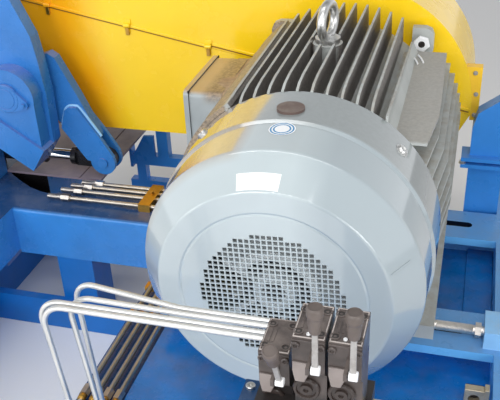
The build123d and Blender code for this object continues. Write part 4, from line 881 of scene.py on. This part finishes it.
HINGE_X = -1080
HINGE_Z = 25
HINGE_REAR = 645
CAP_R = 47
CAP = ((39.5, 0), (39.5, 180), (CAP_R, 180), (48, 182), (48, 192), (45.5, 195), (37, 195), (36, 193.5),
       (33, 193.5), (32, 195), (0, 195))
KEEPER_X = -1018
KEEPER_Z = 8
KEEPER_R = 15
KEEPER_Y = (450.5, 462)
LEVER_FRONT = 590
LONG_WELD = ((-972, -118), (-958, -78), (-950, -58), (-941, -50), (-932, -45), (-920, -43.5), (-903, -44),
             (-893, -55), (-870, -90), (-832, -150))
LONG_WELD_R = 5
SHORT_WELD = ((-1063, -43), (-1030, -75), (-999, -91))
SHORT_WELD_R = 3
LEVER_PIN = (-834, 584.5, -245)
LEVER_PIN_CAP = ((13, 0), (21, 0), (21, 4), (19.5, 6), (15.5, 6), (14.5, 4.5), (12, 4.5), (11, 6), (0, 6))


def make_hinge_cap():
    """Pin with a cap, the keeper that runs out from it, and the keeper's bolt."""
    cap = Shape()
    cap.turned(CAP, (HINGE_X, HINGE_REAR, HINGE_Z), FORWARDS, 56)
    lean = math.degrees(math.atan2(KEEPER_Z - HINGE_Z, KEEPER_X - HINGE_X))
    outline = arc(KEEPER_X, KEEPER_Z, KEEPER_R, lean - 68, 136, 12)
    outline += arc(HINGE_X, HINGE_Z, CAP_R, lean + 60, -120, 8)
    cap.prism_y(outline, *KEEPER_Y)
    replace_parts(cap.done("hinge_cap", HOOD, "hood_blue"), "hinge_pin")
    bolt = Shape()
    bolt.hex_bolt((KEEPER_X, KEEPER_Y[0], KEEPER_Z), FORWARDS, 14, 6.5)
    bolt.done("keeper_bolt", HOOD, "hood_blue")


def make_lever_details():
    """Weld beads between the lever's plates, in the bright block paint as a painted highlight, and the cap of
    its pin.
    """
    bead = Shape()
    for points, radius in ((LONG_WELD, LONG_WELD_R), (SHORT_WELD, SHORT_WELD_R)):
        bead.tube([(x, LEVER_FRONT, z) for x, z in points], radius)
    bead.done("lever_weld_highlight", BLOCK, "hood_blue", "lever")
    Shape().turned(LEVER_PIN_CAP, LEVER_PIN, FORWARDS, 32).done("lever_pin_cap", HOOD, "hood_blue", "lever")


make_hinge_cap()
make_lever_details()


# Valves: rims, screws, ribs, facets and ports

VALVE_X = (115, 173, 223.5)
VALVE_TOP = (237, 300, 300)
VALVE_BACK = (-683, -716, -716)
VALVE_DEPTH = 76
RIM_OUT = 21.8
RIM_IN = 20.3
RIM_EDGES = (1.4, 2.9)
VALVE_SCREW = ((7.6, -0.5), (7.6, 1.2), (6.8, 1.8), (5.6, 1.8), (5.2, 0.6), (4.8, 0.6))
VALVE_SOCKET = ((4.9, -0.5), (4.9, 0.9), (2.4, 0.9), (2, 0.2), (0, 0.2))
VALVE_SCREW_X = (-16, 15)
VALVE_SCREW_INSET = 13.5
VALVE_RIB_X = (-13.5, -7)
SIDE_RING = ((6, 0), (6, 3), (4.6, 4.2), (3, 4.2), (2.6, 1.5), (0, 1.4))
SIDE_RING_X = (-17.5, 17.5)
FACET_OUTLINE = ((-22, -41), (7, -42), (2, -59), (-5, -76), (-18.5, -76), (-22, -58))
VALVE_PORT = ((20, 0), (20, 4), (18.5, 6), (15, 6), (14, 3.4), (9.5, 3.4), (9, 7), (4, 7), (3.6, 4), (0, 4))


def add_valve_rim(rims, x, top, front, back):
    """Pale raised rim round the top of a valve."""
    near, far = RIM_EDGES
    for x0, x1, y0, y1 in ((-RIM_OUT, RIM_OUT, front + near, front + far),
                           (-RIM_OUT, RIM_OUT, back - far, back - near),
                           (-RIM_OUT, -RIM_IN, front + far, back - far),
                           (RIM_IN, RIM_OUT, front + far, back - far)):
        rims.block(x + x0, x + x1, y0, y1, top - 0.5, top + 1)


def add_valve_ribs(ribs, x, top, front, back):
    """Ribs on a valve's top, and two rings and a ledge on its front."""
    for dx in VALVE_RIB_X:
        ribs.block(x + dx - 1.6, x + dx + 1.6, back - 54, back - 24, top - 0.5, top + 1.1)
    for dx in SIDE_RING_X:
        ribs.turned(SIDE_RING, (x + dx, front, top - 12), FORWARDS, 18)
    ribs.block(x - 22.5, x + 22.5, front - 1.6, front + 0.5, top - 5.5, top - 2.5)


def make_valve_details():
    """Small forms of the three valves, one piece for each kind."""
    rims, screws, pins, facets, ribs, recesses, caps = [Shape() for _ in range(7)]
    for x, top, back in zip(VALVE_X, VALVE_TOP, VALVE_BACK):
        front = back - VALVE_DEPTH
        add_valve_rim(rims, x, top, front, back)
        for dx in VALVE_SCREW_X:
            for y in (back - VALVE_SCREW_INSET, front + VALVE_SCREW_INSET):
                screws.turned(VALVE_SCREW, (x + dx, y, top), UPWARDS, 20)
                recesses.turned(VALVE_SOCKET, (x + dx, y, top), UPWARDS, 16)
        pins.socket_screw((x - 1.5, front + 9.5, top), UPWARDS, 2.9, 2.4)
        add_valve_ribs(ribs, x, top, front, back)
        facets.prism_y([(x + dx, top + dz) for dx, dz in FACET_OUTLINE], front - 3.5, front + 0.5)
        caps.turned(VALVE_PORT, (x - 6, front + 18, top - 105), FORWARDS, 30)
    rims.done("valve_rims", RIM, "valve_grey", bevel=0.4)
    screws.done("valve_screws", VALVE, "valve_grey")
    recesses.done("valve_recesses", HOLLOW_SHADE, "valve_grey")
    pins.done("valve_pins", WHITE, "zinc_steel")
    facets.done("valve_facets", FACET, "valve_grey", bevel=1.2)
    ribs.done("valve_ribs", VALVE, "valve_grey", bevel=0.4)
    caps.done("valve_caps", PORT, "valve_grey")


# Hand levers: knob, flat bar and pivot, each along the lever from its pivot

HANDLES = ("left", "middle", "right")
HANDLE_TILT = (25, 0, 0)
PIVOT_RIGHT = 15
PIVOT_OUT = 28
PIVOT_BELOW = 27
KNOB_PROFILE = ((4.5, 64), (7.6, 65), (8.4, 68), (9.2, 78), (10, 87), (10.3, 91), (11.5, 92.5), (11.7, 102.5),
                (11, 105), (9.6, 106.6), (9, 106.6), (8.6, 105.6), (0, 105.6))
BAR_SECTIONS = ((4, 4.2, 2.8), (9, 4.4, 2.4), (30, 4.2, 2.2), (68, 4, 2.2))
PIVOT_PROFILE = ((3.2, -5.2), (6.6, -5.2), (7.1, -4.5), (7.1, 6), (6.6, 6.8), (3.2, 6.8))


def make_handle(i, side):
    """Hand lever of one valve, on its own body."""
    body = "lever_" + side
    spot = Vector((VALVE_X[i] + PIVOT_RIGHT, VALVE_BACK[i] - VALVE_DEPTH - PIVOT_OUT,
                   VALVE_TOP[i] - PIVOT_BELOW))
    tilt = math.radians(HANDLE_TILT[i])
    up = Vector((0, -math.sin(tilt), math.cos(tilt)))
    fore = Vector((0, -math.cos(tilt), -math.sin(tilt)))
    knob = Shape()
    knob.turned(KNOB_PROFILE, spot, up, 36)
    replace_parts(knob.done("knob_" + side, KNOB, "knob", body), "valve_lever_" + side)
    bar = Shape()
    rings = []
    for along, wide, thick in BAR_SECTIONS:
        centre = spot + up * along
        rings.append([centre + Vector((a * wide, 0, 0)) + fore * (b * thick) for a, b in CORNERS])
    bar.loft(rings)
    bar.done("lever_bar_" + side, PALE_BAR, "knob", body, bevel=1)
    Shape().turned(PIVOT_PROFILE, spot, RIGHTWARDS, 24).done("lever_pivot_" + side, WHITE, "knob", body)


make_valve_details()
for i, side in enumerate(HANDLES):
    make_handle(i, side)


# Small fasteners and fittings of the frame

STAND_SCREWS = ((56, -690), (238, -690), (238, -798))
STAND_TOP = 92
BORDER_X = (43, 251)
BORDER_Y = (-813, -671)
BORDER_Z = (84, 88.5)
BORDER_WIDTH = 2.5
COLUMN_BOLT = (352, 626, -150)
TUBE_CLAMP_BOLT = (-623, 488, -292)
ADJUSTER_SPOT = (330, 20, -298.5)
THREAD_PITCH = 3
THREAD_TURNS = 30
THREAD_R = (12.1, 13.1)
TRAY_TUBE_X = (-409, -438, -467, -497)
TRAY_TUBE_Z = -396
UNION_Y = -309
COLLAR = ((6.5, -31), (9.5, -30), (10.4, -27), (10.4, -18), (9, -16), (6.5, -15))
SLOT_Y = (35, 543)
SLOT_MIDDLE_X = (-254, 254)
SLOT_REACH = 133
# Dark sheet of painted shade in the rail slots: half width and heights
SLOT_SHADE_HALF = 13.7
SLOT_SHADE_Z = (-337, -334)


def make_stand_details():
    """Screws and gasket border on the valve stand."""
    screws = Shape()
    for x, y in STAND_SCREWS:
        screws.socket_screw((x, y, STAND_TOP), UPWARDS, 8, 6)
    screws.done("stand_screws", ZINC, "zinc_steel")
    border = Shape()
    left, right = BORDER_X
    front, rear = BORDER_Y
    width = BORDER_WIDTH
    for strip in ((left, right, rear - width, rear), (left, right, front, front + width),
                  (left, left + width, front, rear), (right - width, right, front, rear)):
        border.block(*strip, *BORDER_Z)
    border.done("stand_gasket", RUBBER, "frame_blue", bevel=0.5)


def make_frame_bolts():
    """Bolts of the column and the tube clamp, the adjuster's thread and the tube collars."""
    Shape().hex_bolt(COLUMN_BOLT, UPWARDS, 15, 8).done("column_bolt", ZINC, "zinc_steel")
    thread = Shape()
    root, crest = THREAD_R
    profile = []
    for i in range(THREAD_TURNS):
        profile += [(root, i * THREAD_PITCH), (crest, (i + 0.5) * THREAD_PITCH)]
    thread.turned(profile, ADJUSTER_SPOT, RIGHTWARDS, 20)
    thread.done("adjuster_thread", STEEL, "bright_steel")
    Shape().hex_bolt(TUBE_CLAMP_BOLT, UPWARDS, 12, 7).done("tube_clamp_bolt", BRASS, "clamp_brass")
    collars = Shape()
    for x in TRAY_TUBE_X:
        collars.turned(COLLAR, (x, UNION_Y, TRAY_TUBE_Z), BACKWARDS, 18)
    collars.done("union_collars", BRASS, "clamp_brass")


def make_slot_shade_sheets():
    """Dark sheet of painted shade in each slot of the two motor rails."""
    shade_sheets = Shape()
    for y in SLOT_Y:
        for middle in SLOT_MIDDLE_X:
            outline = arc(middle - SLOT_REACH, y, SLOT_SHADE_HALF, -90, -180, 12)
            outline += arc(middle + SLOT_REACH, y, SLOT_SHADE_HALF, 90, -180, 12)
            shade_sheets.prism_z(outline, *SLOT_SHADE_Z)
    shade_sheets.done("slot_shade_sheets", HOLLOW_SHADE, "frame_blue")


make_stand_details()
make_frame_bolts()
make_slot_shade_sheets()


# Deck behind the first motor rail, lug on the deck and the port beside the valves

DECK_TOP = -403
DECK_MAIN = (-394, 398, 36, 638, DECK_TOP - 12, DECK_TOP - 4)
DECK_RIGHT = (394, 471, 36, 638, DECK_TOP - 12, DECK_TOP + 4)
LUG_HOLE = (432.5, -356)
LUG_HOLE_R = 13
LUG_HALF_WIDTH = 22.5
LUG_HALF_HEIGHT = 27
LUG_Y = (-164, -144)
LUG_STEPS = 40
LUG_FOOT = (410, 455, -164, -144, DECK_TOP, -383)
LUG_SIDE = (455, 466, -164, -140, DECK_TOP, -325)
LUG_BACK = (412, 454, -143.5, -141, DECK_TOP, -331)
PORT_BLOCK = (255, 282, -746, -716, 92, 138)
PORT_SPOT = (268.5, -731, 138)
PORT_NUT = ((9, 0), (12, 1), (12, 4), (7, 5.5), (6, 2), (0, 2))


def add_lug_plate(lug):
    """Square plate with a round hole through it."""
    hole_x, hole_z = LUG_HOLE
    outside = []
    inside = []
    for across, upward in circle(LUG_STEPS, 0.5):
        reach = min(LUG_HALF_WIDTH / max(abs(across), 1e-6), LUG_HALF_HEIGHT / max(abs(upward), 1e-6))
        outside.append((hole_x + reach * across, hole_z + reach * upward))
        inside.append((hole_x + LUG_HOLE_R * across, hole_z + LUG_HOLE_R * upward))
    front, rear = LUG_Y
    rings = []
    for outline, y in ((outside, front), (inside, front), (inside, rear), (outside, rear), (outside, front)):
        rings.append([(x, y, z) for x, z in outline])
    lug.loft(rings, caps=False)


def make_deck_details():
    """Rear deck, the lug with its back, and the port block."""
    deck = Shape()
    deck.block(*DECK_MAIN)
    deck.block(*DECK_RIGHT)
    deck.done("deck_rear", DECK, "deck_blue", bevel=2)
    lug = Shape()
    add_lug_plate(lug)
    lug.block(*LUG_FOOT)
    lug.block(*LUG_SIDE)
    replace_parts(lug.done("deck_lug_plate", YELLOW_ZINC, "lug_tan", bevel=1.2), "deck_lug")
    Shape().block(*LUG_BACK).done("deck_lug_back", RUBBER, "lug_tan")
    port = Shape()
    port.block(*PORT_BLOCK)
    port.turned(PORT_NUT, PORT_SPOT, UPWARDS, 6)
    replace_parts(port.done("end_port", YELLOW_ZINC, "clamp_brass", bevel=1.6), "manifold_end_block")


make_deck_details()


# Hydraulic tubes with smooth bends

TUBE_R = 5
TUBE_STEPS = 20
TRAY_TUBE_R = 7.2
TRAY_BEND_R = 26
VALVE_SIDE = 23
DELIVERY_Z = 200
DELIVERY_Y = (-648, -661, -678, -691)
DELIVERY_LEFT_X = (-281, -274, -318, -305)
DELIVERY_LEFT_Y = (-616, -657, -678, -691)
DELIVERY_BEND_R = (42, 44, 41, 40)
DELIVERY_KINK_X = -70
DELIVERY_LEAN = (33, 58, 62, 52)
DELIVERY_FOOT_R = 20
TRAY_RISE_Y = 320
BEAM_TUBE_Y = (531, 504, 472, 424)
BEAM_TUBE_LEFT_X = (-818, -846, -868, -893)
BEAM_TUBE_Z = -304


def rounded(points, bends, steps=10):
    """Path along straight runs, with a bend radius at each corner."""
    points = [Vector(point) for point in points]
    path = [points[0]]
    for before, corner, after, bend in zip(points, points[1:], points[2:], bends):
        back = (before - corner).normalized()
        ahead = (after - corner).normalized()
        half = back.angle(ahead) / 2
        centre = corner + (back + ahead).normalized() * (bend / math.sin(half))
        first = corner + back * (bend / math.tan(half)) - centre
        last = corner + ahead * (bend / math.tan(half)) - centre
        for i in range(steps + 1):
            path.append(centre + first.slerp(last, i / steps).normalized() * bend)
    path.append(points[-1])
    return path


def delivery_route(i):
    """Corners of a delivery tube, from its valve down to the tray."""
    y = DELIVERY_Y[i]
    left_x = DELIVERY_LEFT_X[i]
    left_y = DELIVERY_LEFT_Y[i]
    points = []
    if i < 2:
        port_x = VALVE_X[2 - i]
        points += [(port_x, VALVE_BACK[2 - i], DELIVERY_Z), (port_x, y, DELIVERY_Z)]
    else:
        points.append((VALVE_X[0] - VALVE_SIDE, y, DELIVERY_Z))
    if left_y != y:
        points.append((DELIVERY_KINK_X, y, DELIVERY_Z))
    points.append((left_x, left_y, DELIVERY_Z))
    points.append((left_x + DELIVERY_LEAN[i], left_y, TRAY_TUBE_Z))
    points.append((TRAY_TUBE_X[i], left_y, TRAY_TUBE_Z))
    points.append((TRAY_TUBE_X[i], UNION_Y, TRAY_TUBE_Z))
    return points


def make_tubes():
    """Four delivery tubes and the four tray tubes that carry them on to the left."""
    delivery = Shape()
    tray = Shape()
    for i, x in enumerate(TRAY_TUBE_X):
        points = delivery_route(i)
        bends = [DELIVERY_FOOT_R] * (len(points) - 2)
        bends[-3] = DELIVERY_BEND_R[i]
        delivery.tube(rounded(points, bends), TUBE_R, TUBE_STEPS)
        y = BEAM_TUBE_Y[i]
        route = [(x, UNION_Y, TRAY_TUBE_Z), (x, TRAY_RISE_Y, TRAY_TUBE_Z), (x, TRAY_RISE_Y, BEAM_TUBE_Z),
                 (x, y, BEAM_TUBE_Z), (BEAM_TUBE_LEFT_X[i], y, BEAM_TUBE_Z)]
        tray.tube(rounded(route, [TRAY_BEND_R] * 3), TRAY_TUBE_R, TUBE_STEPS)
    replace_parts(delivery.done("delivery_lines", TUBE, "tube_steel"), "delivery_tubes")
    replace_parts(tray.done("tray_lines", TRAY_TUBE, "tube_bronze"), "tray_tubes")


make_tubes()


# Stage: pale floor, plain sky and lamps, in metres and watts

FLOOR_HALF = 14
FLOOR_Z = -0.001
FLOOR_COLOUR = (244, 243, 242)
FLOOR_ROUGHNESS = 0.7
SKY_COLOUR = (0.95, 0.97, 1, 1)
SKY_LOW = 1.1
SKY_HIGH = 0.3
SKY_TOP = 0.8


def make_floor():
    """Plain pale floor under the part."""
    mesh = bpy.data.meshes.new("floor")
    corners = [(a * FLOOR_HALF, b * FLOOR_HALF, FLOOR_Z) for a, b in CORNERS]
    mesh.from_pydata(corners, [], [(0, 1, 2, 3)])
    floor = add_object("floor", mesh)
    material = bpy.data.materials.new("floor")
    material.use_nodes = True
    shader = material.node_tree.nodes["Principled BSDF"]
    shader.inputs["Base Color"].default_value = srgb(*FLOOR_COLOUR)
    shader.inputs["Roughness"].default_value = FLOOR_ROUGHNESS
    mesh.materials.append(material)


def make_sky():
    """Sky that is bright near the horizon and dim overhead."""
    world = bpy.data.worlds.new("studio")
    bpy.context.scene.world = world
    world.use_nodes = True
    tree = world.node_tree
    sky = tree.nodes["Background"]
    sky.inputs["Color"].default_value = SKY_COLOUR
    split = tree.nodes.new("ShaderNodeSeparateXYZ")
    tree.links.new(tree.nodes.new("ShaderNodeTexCoord").outputs["Generated"], split.inputs["Vector"])
    height = tree.nodes.new("ShaderNodeMapRange")
    height.inputs["From Max"].default_value = SKY_TOP
    height.inputs["To Min"].default_value = SKY_LOW
    height.inputs["To Max"].default_value = SKY_HIGH
    tree.links.new(split.outputs["Z"], height.inputs["Value"])
    tree.links.new(height.outputs["Result"], sky.inputs["Strength"])


def add_lamp(name, spot, aim, size, power):
    """Soft rectangular lamp at a spot, turned towards an aim."""
    data = bpy.data.lights.new(name, "AREA")
    data.shape = "RECTANGLE"
    data.size = size[0]
    data.size_y = size[1]
    data.energy = power
    lamp = add_object(name, data)
    lamp.location = spot
    lamp.rotation_euler = (Vector(aim) - Vector(spot)).to_track_quat("-Z", "Y").to_euler()


make_floor()
make_sky()
add_lamp("key", (-1.3, -4.6, 2.9), (0.1, 0, 0.7), (2.8, 1.8), 89)
add_lamp("left", (-2.7, -2.4, 1.2), (-0.8, 0.6, 0.7), (1.6, 1.2), 19)
add_lamp("fill", (3.4, -3, 1.3), (0.7, 0.1, 0.5), (2.4, 1.2), 45)
add_lamp("rear", (1, -2.6, 3.6), (-0.5, 0.64, 1.1), (1.6, 1.6), 40)
add_lamp("strip", (-0.2, -0.45, 4.3), (-0.2, -0.45, 0), (5, 0.4), 36)
